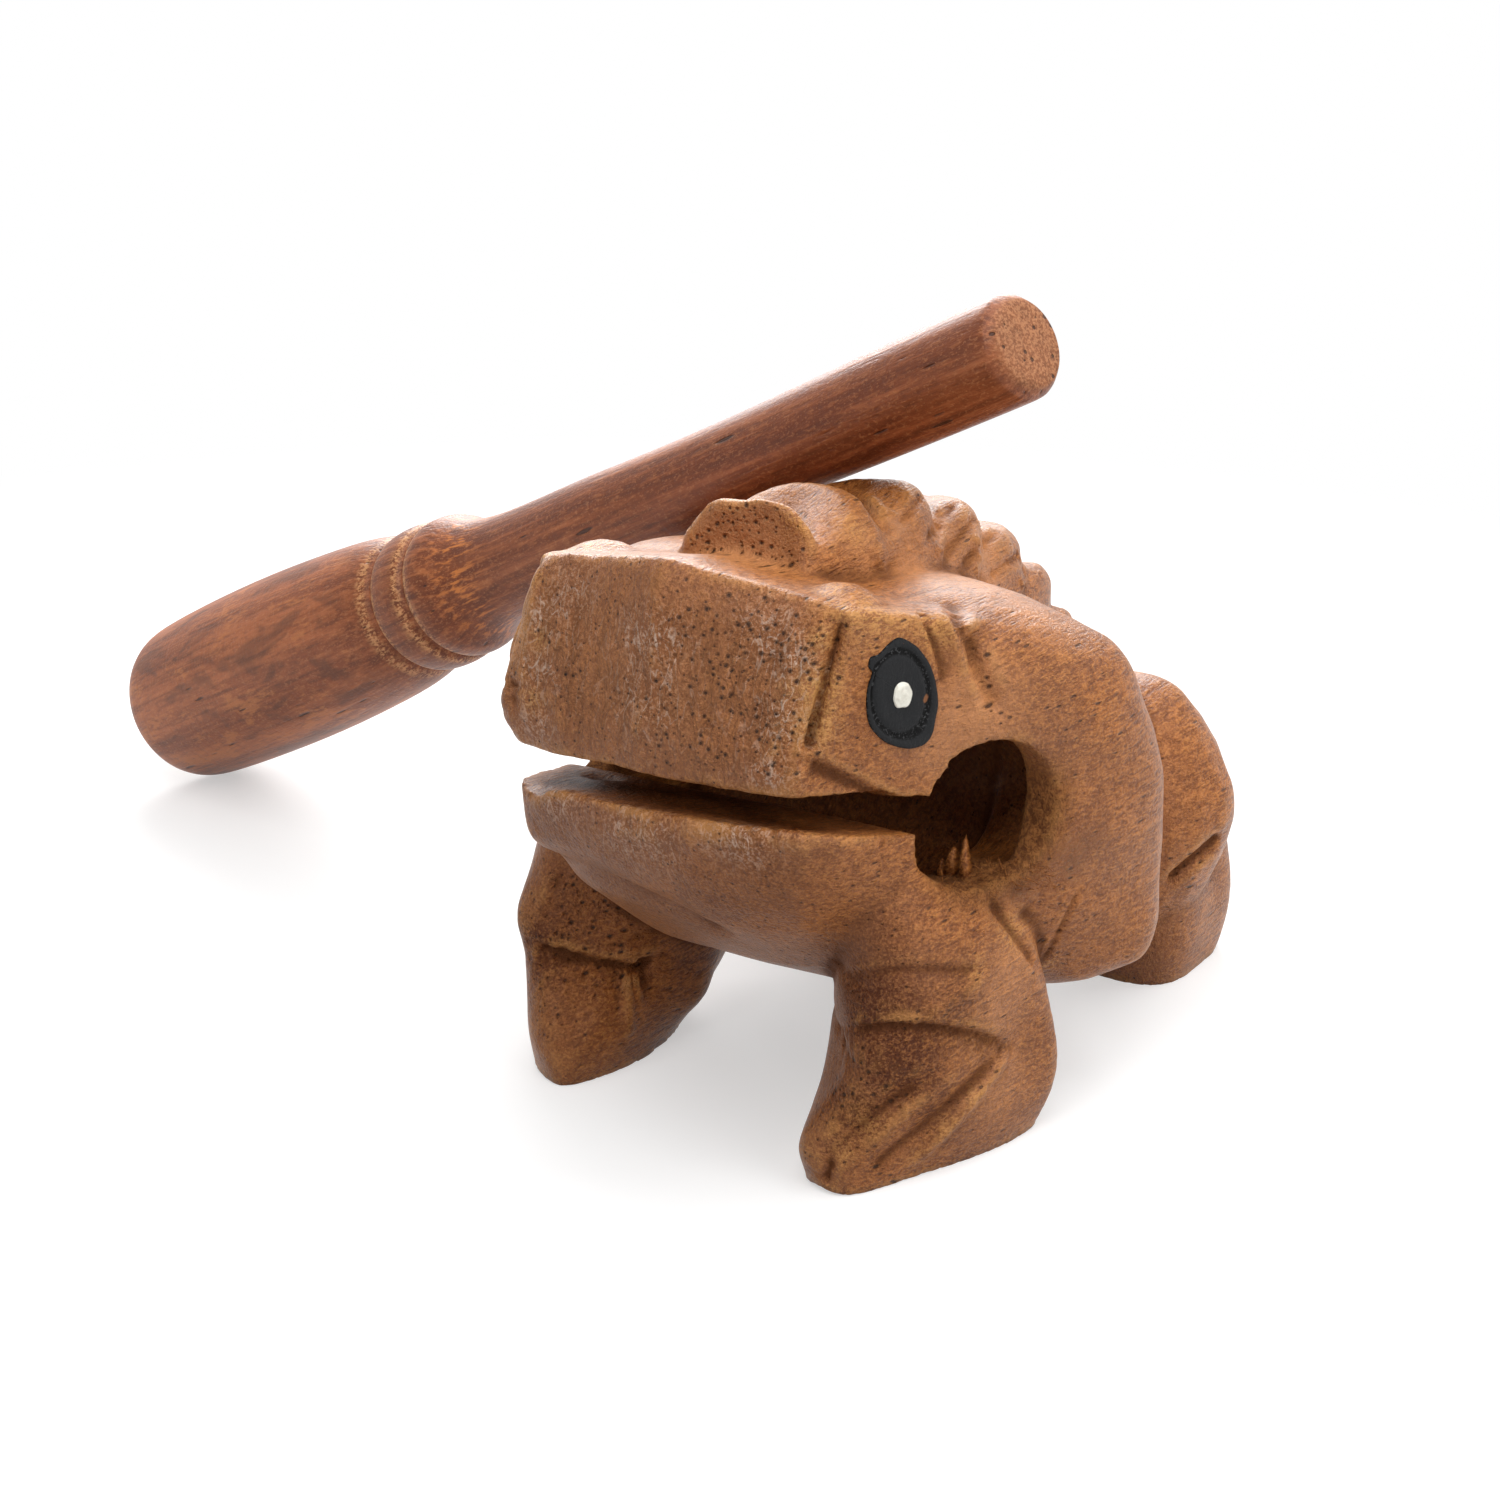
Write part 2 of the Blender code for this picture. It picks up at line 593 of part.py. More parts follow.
def make_frog_body():
    body = make_trunk()
    body.name = "frog_body"
    combine(body, make_jaw(), "UNION")
    combine(body, make_head(), "UNION")
    combine(body, make_comb(), "UNION")
    for side in (-1, 1):
        thigh_centre = Vector((side * THIGH_CENTRE.x, THIGH_CENTRE.y, THIGH_CENTRE.z))
        combine(body, rounded_lump("thigh", thigh_centre, THIGH_RADII), "UNION")
        combine(body, make_hind_foot(side), "UNION")
        combine(body, make_foreleg(side), "UNION")
    combine(body, tunnel_cutter(), "DIFFERENCE")
    combine(body, mouth_cutter(), "DIFFERENCE")
    combine(body, cross_cylinder("bore", BORE_Y, BORE_Z, BORE_RADIUS, CUT_REACH), "DIFFERENCE")
    hollow_y = BORE_Y + HOLLOW_BACKSET
    hollow = cross_cylinder("hollow", hollow_y, BORE_Z, HOLLOW_RADIUS, HOLLOW_HALF_LENGTH)
    combine(body, hollow, "DIFFERENCE")
    pocket_y = BORE_Y + POCKET_BACKSET
    pocket = cross_cylinder("pocket", pocket_y, BORE_Z, POCKET_RADIUS, POCKET_HALF_LENGTH)
    combine(body, pocket, "DIFFERENCE")
    ground = block("ground", (-CUT_REACH, -CUT_REACH, -CUT_REACH), (CUT_REACH, 2 * CUT_REACH, 0.0))
    combine(body, ground, "DIFFERENCE")
    return body


# Painted eyes

def make_eye_plate(name, side, width, height, paint, lift):
    """An oval of paint on the eye panel, lifted off the wood by a hair."""
    centre = panel_point(EYE_ALONG, EYE_Z)
    along = (panel_point(PANEL_LENGTH, EYE_Z) - panel_point(0.0, EYE_Z)).normalized()
    rise = (panel_point(0.0, EYE_Z + MM) - panel_point(0.0, EYE_Z)).normalized()
    outward = along.cross(rise).normalized()
    rings = []
    for level, shrink in PAINT_EDGE:
        ring = []
        for i in range(STICK_SIDES):
            angle = 2 * math.pi * i / STICK_SIDES
            point = centre + outward * (lift + paint * level)
            point += along * (width / 2 * shrink * math.cos(angle))
            point += rise * (height / 2 * shrink * math.sin(angle))
            ring.append(Vector((side * point.x, point.y, point.z)))
        rings.append(ring)
    return loft(name, rings)


# Stick

def stick_profile():
    """Distance along the stick and radius there, from the round end to the cut tip."""
    profile = []
    for i in range(BUTT_STEPS):
        angle = math.pi / 2 * i / BUTT_STEPS
        inset = BUTT_ROUND * (1 - math.sin(angle))
        profile.append((BUTT_ROUND * (1 - math.cos(angle)), BUTT_RADIUS - inset))
    handle = [
        (BUTT_ROUND, BUTT_RADIUS),
        (HANDLE_LENGTH * HANDLE_SWELL_AT, HANDLE_RADIUS),
        (HANDLE_LENGTH * HANDLE_SHOULDER_AT, HANDLE_SHOULDER_RADIUS),
        (HANDLE_LENGTH - GROOVE_WIDTH, HANDLE_FRONT_RADIUS),
    ]
    profile += smooth_rows(handle, TURNED_STEPS)
    for i in range(TURNED_STEPS):
        bulge = (BEAD_RADIUS - GROOVE_RADIUS) * math.sin(math.pi * i / TURNED_STEPS)
        profile.append((HANDLE_LENGTH + BEAD_LENGTH * i / TURNED_STEPS, GROOVE_RADIUS + bulge))
    collar_start = HANDLE_LENGTH + BEAD_LENGTH
    shaft_start = collar_start + COLLAR_LENGTH + NECK_LENGTH
    shaft = [
        (collar_start, GROOVE_RADIUS),
        (collar_start + COLLAR_LENGTH, COLLAR_RADIUS),
        (shaft_start, NECK_RADIUS),
        (shaft_start + SHAFT_SLIM_AT * (STICK_LENGTH - shaft_start), SHAFT_RADIUS),
        (STICK_LENGTH - TIP_CHAMFER, TIP_RADIUS),
    ]
    profile += smooth_rows(shaft, TURNED_STEPS)
    return profile + [(STICK_LENGTH, TIP_RADIUS - TIP_CHAMFER)]


def stick_radius(profile, distance):
    for (near, near_radius), (far, far_radius) in zip(profile, profile[1:]):
        if near <= distance <= far:
            return near_radius + (far_radius - near_radius) * (distance - near) / (far - near)
    return profile[-1][1]


def stick_direction():
    level = Vector((math.cos(STICK_YAW), math.sin(STICK_YAW), 0.0))
    return level * math.cos(STICK_TILT) + Vector((0.0, 0.0, math.sin(STICK_TILT)))


def stick_start(profile, body):
    """Where the stick's end lies when its handle rests on the table and its shaft leans on the comb."""
    direction = stick_direction()
    height = max(radius * math.cos(STICK_TILT) - place * math.sin(STICK_TILT) for place, radius in profile)
    rest_y = comb_point(0.0, tooth_place(STICK_TOOTH), 0.0).y + STICK_BEHIND_TOOTH
    near, far = 0.0, STICK_LENGTH
    for _ in range(SEAT_ROUNDS):
        reach = (near + far) / 2
        start = Vector((-reach * direction.x, rest_y - reach * direction.y, height))
        room = STICK_LENGTH
        for vertex in body.data.vertices:
            distance = (vertex.co - start).dot(direction)
            gap = (vertex.co - start - direction * distance).length
            room = min(room, gap - stick_radius(profile, distance))
        if room > SEAT_GAP:
            far = reach
        else:
            near = reach
    return start


def make_striker(body):
    profile = stick_profile()
    start = stick_start(profile, body)
    rings = []
    for distance, radius in profile:
        ring = []
        for i in range(STICK_SIDES):
            angle = 2 * math.pi * i / STICK_SIDES
            ring.append(Vector((radius * math.cos(angle), radius * math.sin(angle), distance)))
        rings.append(ring)
    striker = loft("striker", rings)
    turn = stick_direction().to_track_quat("Z", "Y").to_matrix().to_4x4()
    striker.matrix_world = Matrix.Translation(start) @ turn
    return striker


# Finish and assembly

def give_material(obj, name, finish):
    colour, roughness = finish
    material = bpy.data.materials.new(name)
    material.use_nodes = True
    shader = material.node_tree.nodes["Principled BSDF"]
    shader.inputs["Base Color"].default_value = colour
    shader.inputs["Roughness"].default_value = roughness
    shader.inputs["Metallic"].default_value = 0.0
    obj.data.materials.clear()
    obj.data.materials.append(material)
    obj.data.shade_smooth()
    obj.data.set_sharp_from_angle(angle=SHARP_ANGLE)


def stand_on_origin(objects):
    """Carry all pieces on one empty, with the origin under the centre of their footprint."""
    bpy.context.view_layer.update()
    corners = [obj.matrix_world @ vertex.co for obj in objects for vertex in obj.data.vertices]
    middle_x = (min(c.x for c in corners) + max(c.x for c in corners)) / 2
    middle_y = (min(c.y for c in corners) + max(c.y for c in corners)) / 2
    stand = bpy.data.objects.new("stand", None)
    bpy.context.scene.collection.objects.link(stand)
    for obj in objects:
        obj.parent = stand
    stand.location = (-middle_x, -middle_y, 0.0)


def main():
    for obj in list(bpy.data.objects):
        bpy.data.objects.remove(obj, do_unlink=True)
    body = make_frog_body()
    give_material(body, "carved_wood", WOOD_FINISH)
    pieces = [body]
    for side, word in ((1, "left"), (-1, "right")):
        eye = make_eye_plate(word + "_eye_paint", side, EYE_WIDTH, EYE_HEIGHT, EYE_PAINT, PAINT_GAP)
        give_material(eye, word + "_eye_black", EYE_FINISH)
        dot_lift = 2 * PAINT_GAP + EYE_PAINT
        dot = make_eye_plate(word + "_eye_dot", side, DOT_WIDTH, DOT_HEIGHT, DOT_PAINT, dot_lift)
        give_material(dot, word + "_eye_white", DOT_FINISH)
        pieces += [eye, dot]
    striker = make_striker(body)
    give_material(striker, "stick_wood", STICK_FINISH)
    pieces.append(striker)
    stand_on_origin(pieces)


main()
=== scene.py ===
"""Looks of the frog guiro: a carved wooden frog with a notched comb, painted eyes and a turned stick."""
import math
import random

import bpy
import numpy as np
from mathutils import Matrix, Vector, noise
from mathutils.bvhtree import BVHTree


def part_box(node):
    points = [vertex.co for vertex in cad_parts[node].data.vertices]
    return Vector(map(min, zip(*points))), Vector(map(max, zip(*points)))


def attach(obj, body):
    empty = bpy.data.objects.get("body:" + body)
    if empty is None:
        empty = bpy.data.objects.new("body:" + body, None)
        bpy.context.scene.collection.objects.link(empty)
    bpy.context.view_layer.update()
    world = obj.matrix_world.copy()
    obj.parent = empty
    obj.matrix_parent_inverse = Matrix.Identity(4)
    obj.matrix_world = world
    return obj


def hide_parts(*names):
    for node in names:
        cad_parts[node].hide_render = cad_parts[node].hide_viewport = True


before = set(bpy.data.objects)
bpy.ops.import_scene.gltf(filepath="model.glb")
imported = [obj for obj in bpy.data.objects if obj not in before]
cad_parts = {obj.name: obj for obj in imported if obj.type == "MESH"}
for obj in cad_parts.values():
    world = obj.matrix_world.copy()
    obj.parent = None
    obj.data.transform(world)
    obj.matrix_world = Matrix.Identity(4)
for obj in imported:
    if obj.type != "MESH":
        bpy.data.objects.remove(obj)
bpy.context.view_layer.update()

MM = 0.001

# The photograph's camera, in pixels, degrees and mm. Its aim is measured from the frog's midplane.
PHOTO_HALF = 750
PHOTO_FOCAL = 2800
SENSOR = 36
CAMERA_AZIMUTH = 33
CAMERA_ELEVATION = 20
CAMERA_DISTANCE = 416.92
CAMERA_AIM = (-61.886, 106.031)
CAMERA_CLIP = (0.01, 20)
SNOUT_REACH = 9.8

# Points this close are one, in mm
CAD_MERGE = 0.005
PIECE_MERGE = 0.001

# Skin of the frog, in mm, and how its pixels are found
SKIN_VOXEL = 0.45
SKIN_TRIANGLES = 190000
SKIN_SMOOTH_ROUNDS = 3
SKIN_SMOOTH_SHARE = 0.5
LINE_STEP = 4
LOST_PIXEL_STEP = 2
LOST_PIXEL_TRIES = 14
LOST_PIXEL_WAYS = ((-1, 0), (1, 0), (0, -1), (0, 1), (-1, -1), (1, -1))

# Rounding of the carved edges, which the lips and the rim of the stick hole mostly keep. In mm and degrees.
SOFT_ROUNDS = 7
SOFT_SHARE = 0.5
RIM_KEEP = 0.85
SOLE_ZONE = 0.35
SOLE_SHARE = 0.6
SOLE_CHIPS = 0.3
MOUTH_HEIGHT, MOUTH_ROLL, MOUTH_PITCH = 40.85, 1.7, 13.5
LIP_ZONE = 2.6
HOLE_Y, HOLE_Z, HOLE_RADIUS = 16.0, 37.8, 8.0
HOLE_ZONE = 1.7
TORN_ZONE = (7.6, 11.2)
TORN_OUT = 17.0
TORN_ROUGH = 0.3
TORN_SLANT = 0.7
TORN_RISE = 0.3
INNER_FADE = 0.5
INNER_DEEP = 23.0
INNER_DEEP_FADE = 5.0

# Places where one form runs into the next: pixel, radius in mm, strength
BLENDED = [
    ((845, 935), 4, 1), ((850, 905), 4.5, 1), ((880, 888), 4.5, 1), ((915, 886), 4, 0.9),
    ((945, 893), 3.5, 0.7), ((1150, 690), 5, 0.5), ((560, 905), 3.5, 0.6), ((893, 548), 2.4, 1),
    ((920, 552), 2.4, 1), ((945, 560), 2.4, 1), ((970, 570), 2.4, 1), ((995, 582), 2.4, 1),
    ((905, 527), 2.4, 0.8), ((930, 535), 2.4, 0.8), ((955, 545), 2.4, 0.8), ((980, 557), 2.2, 0.8)
]
BLEND_ROUNDS = 45

# Local shifts of the form: pixel, shift in pixels, radius in mm
PUSHES = {
    "snout": [((522, 695), (-27, 0), 6), ((534, 640), (-14, 0), 4), ((528, 748), (7, -2), 3.2),
              ((538, 786), (0, 9), 2.2), ((604, 776), (0, 7), 2), ((545, 598), (-15, 2), 3.2),
              ((549, 572), (-7, 0), 2.4)],
    "near_toes": [((812, 1186), (6, -6), 3), ((812, 1150), (-6, 0), 3)],
    "far_foreleg": [((533, 1078), (10, -2), 3.6), ((690, 985), (13, 9), 4), ((740, 940), (6, 3), 3.5)],
    "near_foreleg": [((828, 1060), (12, 0), 4.5), ((1036, 1040), (-11, 0), 5)],
    "haunch": [((1222, 866), (-8, 0), 4), ((1226, 800), (6, 2), 4)],
    "front_teeth": [((722, 519), (-8, -10), 2.6), ((783, 530), (3, -16), 2.6), ((803, 549), (4, -12), 2.4),
                    ((757, 520), (0, -12), 2.3), ((702, 540), (-12, 3), 2)],
    "rear_teeth": [((900, 494), (2, -10), 4.5), ((945, 512), (2, -9), 4), ((985, 537), (3, -9), 3)],
    "back": [((1115, 665), (7, -13), 5.5), ((1165, 692), (5, -7), 4)],
    "far_jaw_and_arm": [((534, 822), (-7, 12), 4), ((536, 915), (-15, 0), 3.8)],
    "belly": [((1138, 925), (6, 22), 5), ((1085, 958), (0, 16), 4.5)],
}


def groove(depth, width, *pixels, both=False):
    """A stroke that cuts a groove along its pixels, or raises a ridge where its depth is below zero."""
    return "groove", depth, width, 0, 0, both, pixels


def fold(depth, width, reach, side, *pixels, both=False):
    """A stroke that cuts down one side of the line of its pixels, running out over its reach."""
    return "fold", depth, width, reach, side, both, pixels


# Carver's strokes seen in the photograph, in mm. Both says whether the hidden side of the frog has it too.
STROKES = {
    "snout_edge": groove(1.35, 0.7, (839, 610), (842, 625), (835, 655), (829, 675), (820, 708), (811, 741),
                         (806, 757), both=True),
    "snout_strip": groove(-0.25, 0.9, (822, 618), (815, 660), (806, 705), (796, 748), both=True),
    "snout_ridge_1": groove(-0.3, 1.3, (574, 565), (562, 620), (556, 690), (563, 742)),
    "snout_ridge_2": groove(-0.28, 1, (657, 610), (649, 660), (641, 705), (632, 748)),
    "snout_ridge_3": groove(-0.28, 0.9, (796, 622), (790, 665), (782, 710), (770, 765)),
    "lip_strip": fold(1, 0.5, 5, -1, (806, 757), (820, 762), (839, 771), (859, 781), (888, 795), (905, 800),
                      both=True),
    "lip_bulge": groove(-0.35, 1.6, (548, 822), (600, 832), (680, 838), (760, 840), (830, 838)),
    "lip_hollow": groove(0.9, 2.2, (534, 853), (593, 874), (644, 899), (703, 925), (740, 940)),
    "panel_rear": fold(0.6, 0.4, 6, 1, (912, 604), (921, 616), (927, 630), (933, 647), (939, 669),
                       (942, 688), both=True),
    "brow_ridge": groove(-0.35, 0.9, (938, 600), (955, 640), (968, 680), (978, 705), both=True),
    "brow_gouge": groove(0.9, 1.3, (953, 607), (965, 625), (973, 645), (980, 664), (988, 685), (1000, 712),
                         both=True),
    "armpit": groove(0.6, 0.7, (990, 900), (1009, 926), (1028, 950), (1040, 968), both=True),
    "armpit_flat": groove(0.35, 2.2, (1022, 905), (1050, 950), both=True),
    "flank_scratch": groove(0.3, 0.45, (1079, 888), (1065, 921), (1055, 945), (1042, 966), both=True),
    "arm_line": fold(0.5, 0.3, 3.5, -1, (839, 973), (866, 970), (893, 967), (940, 966), (985, 965)),
    "wrist_line": fold(1.15, 0.3, 5.5, -1, (841, 1026), (884, 1024), (927, 1023), (975, 1030),
                       (1012, 1044)),
    "arm_crest": groove(-0.3, 1, (985, 976), (955, 1000), (927, 1017)),
    "foot_crest": groove(-0.55, 0.8, (1013, 1050), (980, 1092), (945, 1130), (912, 1163)),
    "foot_gouge": groove(0.5, 1.1, (1000, 1060), (960, 1095), (922, 1128), (888, 1156), (866, 1176)),
    "toe_band": groove(-0.3, 1, (965, 1068), (927, 1092), (868, 1144)),
    "toe_gouge": groove(0.55, 1.1, (925, 1083), (897, 1098), (860, 1128), (834, 1149), (812, 1166)),
    "toe_notch": groove(0.9, 0.7, (832, 1160), (823, 1184)),
    "far_arm_fold": fold(1.5, 0.35, 7, -1, (528, 938), (553, 948), (597, 957), (634, 964), (662, 952)),
    "far_arm_crest": groove(-0.5, 0.9, (634, 966), (631, 1000), (627, 1040)),
    "hind_notch": groove(1.1, 1, (1166, 886), (1180, 874), (1196, 861), (1212, 847), (1224, 836),
                         both=True),
    "comb_fill_2": groove(-0.9, 1.3, (872, 497), (889, 520), (888, 540), (872, 566)),
    "comb_fill_3": groove(-0.7, 1, (938, 505), (942, 530), (937, 560)),
    "comb_fill_4": groove(-0.6, 0.9, (974, 532), (979, 550), (975, 575)),
    "comb_fill_5": groove(-0.5, 0.8, (1020, 562), (1022, 575), (1018, 590)),
    "comb_edge_2": groove(-0.3, 0.7, (860, 492), (876, 508), (878, 526), (866, 556)),
    "comb_slant_1": groove(0.35, 0.6, (874, 496), (889, 510), (890, 530), (878, 560)),
    "comb_slant_2": groove(0.5, 0.55, (927, 492), (912, 509), (898, 526), both=True),
    "comb_slant_3": groove(0.5, 0.55, (958, 499), (942, 520), (927, 541), both=True),
    "comb_slant_4": groove(0.5, 0.55, (977, 516), (962, 537), (946, 557), both=True),
    "comb_slant_5": groove(0.5, 0.55, (999, 529), (982, 547), (965, 565), both=True),
    "comb_slant_6": groove(0.5, 0.55, (1021, 553), (1005, 565), (990, 577), both=True),
}
GROOVE_SPAN = 3
FOLD_SPAN = 1.1
FOLD_POWER = 1.5
STROKE_FADE = 0.12
STROKE_END = 0.25

# Hand unevenness of the carving, chips on its sharp edges and ripples on the snout, in mm
WAVE_SIZE = 11
WAVE_DEPTH = 0.28
CHIP_SIZE = 1.3
CHIP_DEPTH = 0.44
CHIP_CURVE = 0.3
RIPPLE_SIZE = (1.5, 2.0, 4.5)
RIPPLE_DEPTH = 0.13

# Curvature that counts as a worn edge, which also gets a painted highlight, or as a fold, which gets
# painted shade, in mm of smoothing, and facing that counts as end grain
CURVE_ROUNDS = 6
BEND_ROUNDS = 1
BROAD_ROUNDS = 4
WORN_RANGE = (0.045, 0.15)
FOLD_RANGE = (0.015, 0.11)
END_GRAIN_RANGE = (0.2, 1.0)

# Marks on the wood: pixel, radius in mm, strength. Some of them place painted shade, painted light or
# painted highlights.
MARKS = {
    "smudge": [((1070, 858), 2.4, 0.9), ((1085, 845), 1.8, 0.7), ((1022, 888), 2, 0.8),
               ((1050, 870), 2.6, 0.5), ((990, 905), 2.2, 0.5), ((1100, 838), 2, 0.4)],
    # Painted highlight: whitish streaks on the snout and lip where light catches the fibre ridges
    "painted_highlight": [((625, 837), 3, 0.8), ((740, 835), 3.4, 1), ((715, 838), 2.4, 0.7), ((770, 775), 2.2, 1),
              ((785, 720), 2.6, 0.8), ((655, 640), 3, 0.8), ((770, 630), 3.4, 0.7), ((645, 700), 3.4, 0.6),
              ((795, 660), 2.4, 0.8)],
    # Gold-toned wood, and painted highlight on the bevel above the eye and on the leg crests
    "gold_and_highlight": [
        ((875, 612), 3.2, 0.9), ((850, 608), 2.2, 0.8), ((900, 615), 2.2, 0.8), ((935, 625), 2.6, 0.8),
        ((817, 690), 2.2, 1.2), ((812, 722), 2.2, 1.2), ((822, 640), 1.4, 0.8), ((830, 590), 2, 0.7),
        ((800, 520), 1.8, 0.7), ((855, 530), 1.8, 0.6), ((540, 640), 1.2, 0.7), ((532, 700), 1.2, 0.7),
        ((1010, 930), 2, 0.6), ((1045, 965), 1.6, 0.5), ((975, 1095), 1.2, 0.5), ((948, 1128), 1.2, 0.5),
        ((918, 1158), 1.2, 0.5), ((868, 1122), 1.5, 0.4), ((842, 1150), 1.4, 0.4), ((975, 968), 1.4, 0.5)
    ],
    "porous": [
        ((790, 640), 6, 1), ((735, 660), 6, 1), ((770, 740), 5, 1), ((690, 720), 5, 0.6),
        ((740, 540), 6.5, 1), ((590, 905), 5.5, 1), ((560, 660), 4, 0.5), ((600, 985), 4, 0.6),
        ((850, 1085), 4, 0.8), ((1000, 1005), 3.5, 0.5), ((1045, 935), 3, 0.4), ((1185, 870), 3, 0.5),
        ((1000, 690), 3, 0.5), ((870, 1165), 3, 0.6), ((963, 632), 2.4, 0.9), ((985, 680), 2.4, 0.9)
    ],
    # Painted shade: on the front legs under the head, and on the jaw under the upper lip
    "painted_shade": [
        ((870, 1010), 6.5, 1.3), ((900, 1060), 6, 1.4), ((960, 1010), 5, 0.8), ((855, 1110), 5, 1),
        ((930, 1110), 4, 0.7), ((700, 915), 7, 0.45), ((620, 900), 5, 0.3), ((880, 950), 5, 0.6),
        ((560, 782), 2.6, 1.4), ((595, 785), 2.8, 1.5), ((630, 788), 2.8, 1.5), ((670, 792), 2.8, 1.5),
        ((710, 797), 2.8, 1.5), ((750, 803), 2.8, 1.5), ((545, 830), 5, 0.5), ((600, 868), 5.5, 0.55)
    ],
    # Painted light: the head top, comb, cheek and leg crests made brighter where the lamps fall
    "painted_light": [
        ((975, 710), 5.5, 1), ((940, 735), 4, 0.7), ((750, 548), 6, 1.3), ((985, 560), 6, 1),
        ((915, 572), 5, 1), ((965, 580), 5, 1), ((1030, 610), 5, 0.6), ((700, 690), 7, 0.4),
        ((800, 690), 4, 0.6), ((990, 1010), 4.5, 0.7), ((1010, 975), 4.5, 0.6), ((860, 540), 4.5, 0.7),
        ((1000, 1090), 4, 0.5), ((880, 625), 4, 0.5), ((900, 525), 4, 0.9), ((940, 530), 4, 0.9)
    ],
    "rippled": [((590, 680), 9, 1), ((680, 690), 9, 1), ((760, 690), 8, 1), ((640, 832), 8, 0.6),
                ((740, 835), 6, 0.6)],
}
SEEN_SIDE_ONLY = ("porous",)

# Brushed eye: outline in the photograph, the disc inside its pressed ring, bare spots, and the dab.
# Rings of paint lie at a share of the disc, or at a share of the way from the disc to the outline plus one.
EYE_MIDDLE = (902, 693)
EYE_OUTLINE = [
    (900, 637), (890, 642), (878, 654), (870, 657), (868, 667), (872, 672), (867, 688), (866, 708),
    (869, 725), (878, 737), (888, 744), (900, 748), (912, 749), (924, 745), (931, 737), (935, 722),
    (938, 703), (936, 684), (931, 667), (922, 652), (914, 644)
]
EYE_DISC_HALF = (26, 38)
EYE_DISC_MIDDLE = (898, 693)
EYE_RINGS = [(0.2, 0.3), (0.45, 0.31), (0.65, 0.32), (0.8, 0.34), (0.9, 0.35), (0.97, 0.29), (1.1, 0.13),
             (1.25, 0.06), (1.4, 0.1), (1.55, 0.24), (1.7, 0.28), (1.85, 0.24), (1.95, 0.15), (2, -0.12)]
EYE_BARE = [((924, 698), 0.55, 1.0), ((903, 643), 0.35, 0.8)]
EYE_SPOKES = 84
PAINT_RAY = 4
PAINT_RIPPLE = 0.9
PAINT_TURNS = 2.3
PAINT_ROOT = 0.25
EYE_UNEVEN = 0.07
DAB_MIDDLE = (900, 695)
DAB_HALF = (1.2, 1.35)
DAB_RINGS = [(0.12, 0.62), (0.25, 0.62), (0.38, 0.61), (0.5, 0.61), (0.62, 0.6), (0.74, 0.58), (0.86, 0.52),
             (0.95, 0.42), (1, 0.2)]
DAB_SWIRL = 0.05
DAB_WOBBLE = 0.16
DAB_BENDS = 1.4
DAB_SAMPLE = 0.3
DAB_SPOKES = 36

# Turned stick: share of its length from the butt, and radius in mm
STICK_ROWS = [
    (0, 6.6), (0.0008, 8.6), (0.003, 9.9), (0.007, 10.75), (0.013, 11.2), (0.022, 11.45), (0.035, 11.6),
    (0.06, 11.8), (0.113, 11.95), (0.165, 11.9), (0.215, 11.68), (0.263, 11.24), (0.295, 10.88),
    (0.318, 10.48), (0.336, 9.95), (0.346, 9.45), (0.3515, 9), (0.354, 8.5), (0.3565, 8.5), (0.3585, 9.15),
    (0.364, 9.5), (0.376, 9.6), (0.388, 9.5), (0.3935, 9.15), (0.396, 8.5), (0.3985, 8.5), (0.4005, 9),
    (0.406, 9.25), (0.416, 9.15), (0.424, 8.7), (0.434, 7.8), (0.446, 7.1), (0.462, 6.65), (0.486, 6.3),
    (0.525, 6.2), (0.568, 6.2), (0.605, 6.08), (0.645, 5.82), (0.69, 5.7), (0.74, 5.62), (0.79, 5.66),
    (0.85, 5.78), (0.91, 5.85), (0.97, 5.85), (0.9905, 5.8), (0.9925, 5.7), (0.9995, 4.75), (1, 4.6)
]
STICK_RIMS = (0.347, 0.3605, 0.391, 0.4025)
STICK_RIM_WIDTH = 0.0032
STICK_NECK = (0.45, 0.018)
STICK_HANDLE_FADE = 0.05
STICK_SPOKES = 96
STICK_WAVE = 0.05
STICK_WAVE_SIZE = (14, 14, 30)
STICK_CUT_ZONE = 0.9
TIP_LIFT = 0.3
TIP_SHORT = 1.0

# Torn fibres in the stick hole: pixels of their roots, length and width in mm
SPLINTERS = [((953, 872), 3.0, 2.6), ((966, 875), 4.4, 1.8), ((943, 874), 1.8, 1.6)]
SPLINTER_LEANS = ((-0.2, 0.3), (-0.1, 0.25))
SPLINTER_FLAT = (0.45, 0.85)
SPLINTER_TWIST = (-0.1, 0.1)
FIBRE_COUNT = 90
FIBRE_PIXELS = ((936, 1056), (862, 892))
FIBRE_SPREAD = ((-1, 1), (-1, 1), (-0.4, 1))
FIBRE_LENGTH = (0.7, 2.0)
FIBRE_WIDTH = 0.09
FIBRE_SEED = 7
# Rows of a spike as shares of its length and width, its thickness as one of its width, leans of its length
SPIKE_ROWS = ((-0.25, 1.0), (0.35, 0.85), (0.8, 0.4))
SPIKE_THICK = 0.22
SPIKE_LEAN = 0.08
SPIKE_TIP_LEAN = 0.1

# Finishes: gloss, roughness of the lacquer, bump in mm, and how pores grow and fade into the wood
WOOD_GLOSS = 0.14
STICK_GLOSS = 0.28
LACQUER_ROUGH = 0.34
PAINT_GLOSS = 0.11
WOOD_BUMP = 0.65
STICK_BUMP = 0.16
BLACK_BUMP = 0.14
WHITE_BUMP = 0.16
PORE_GROWTH = 0.6
PORE_EDGE = (0.04, -0.03)
DIMPLE_EDGE = (0.2, -0.05)

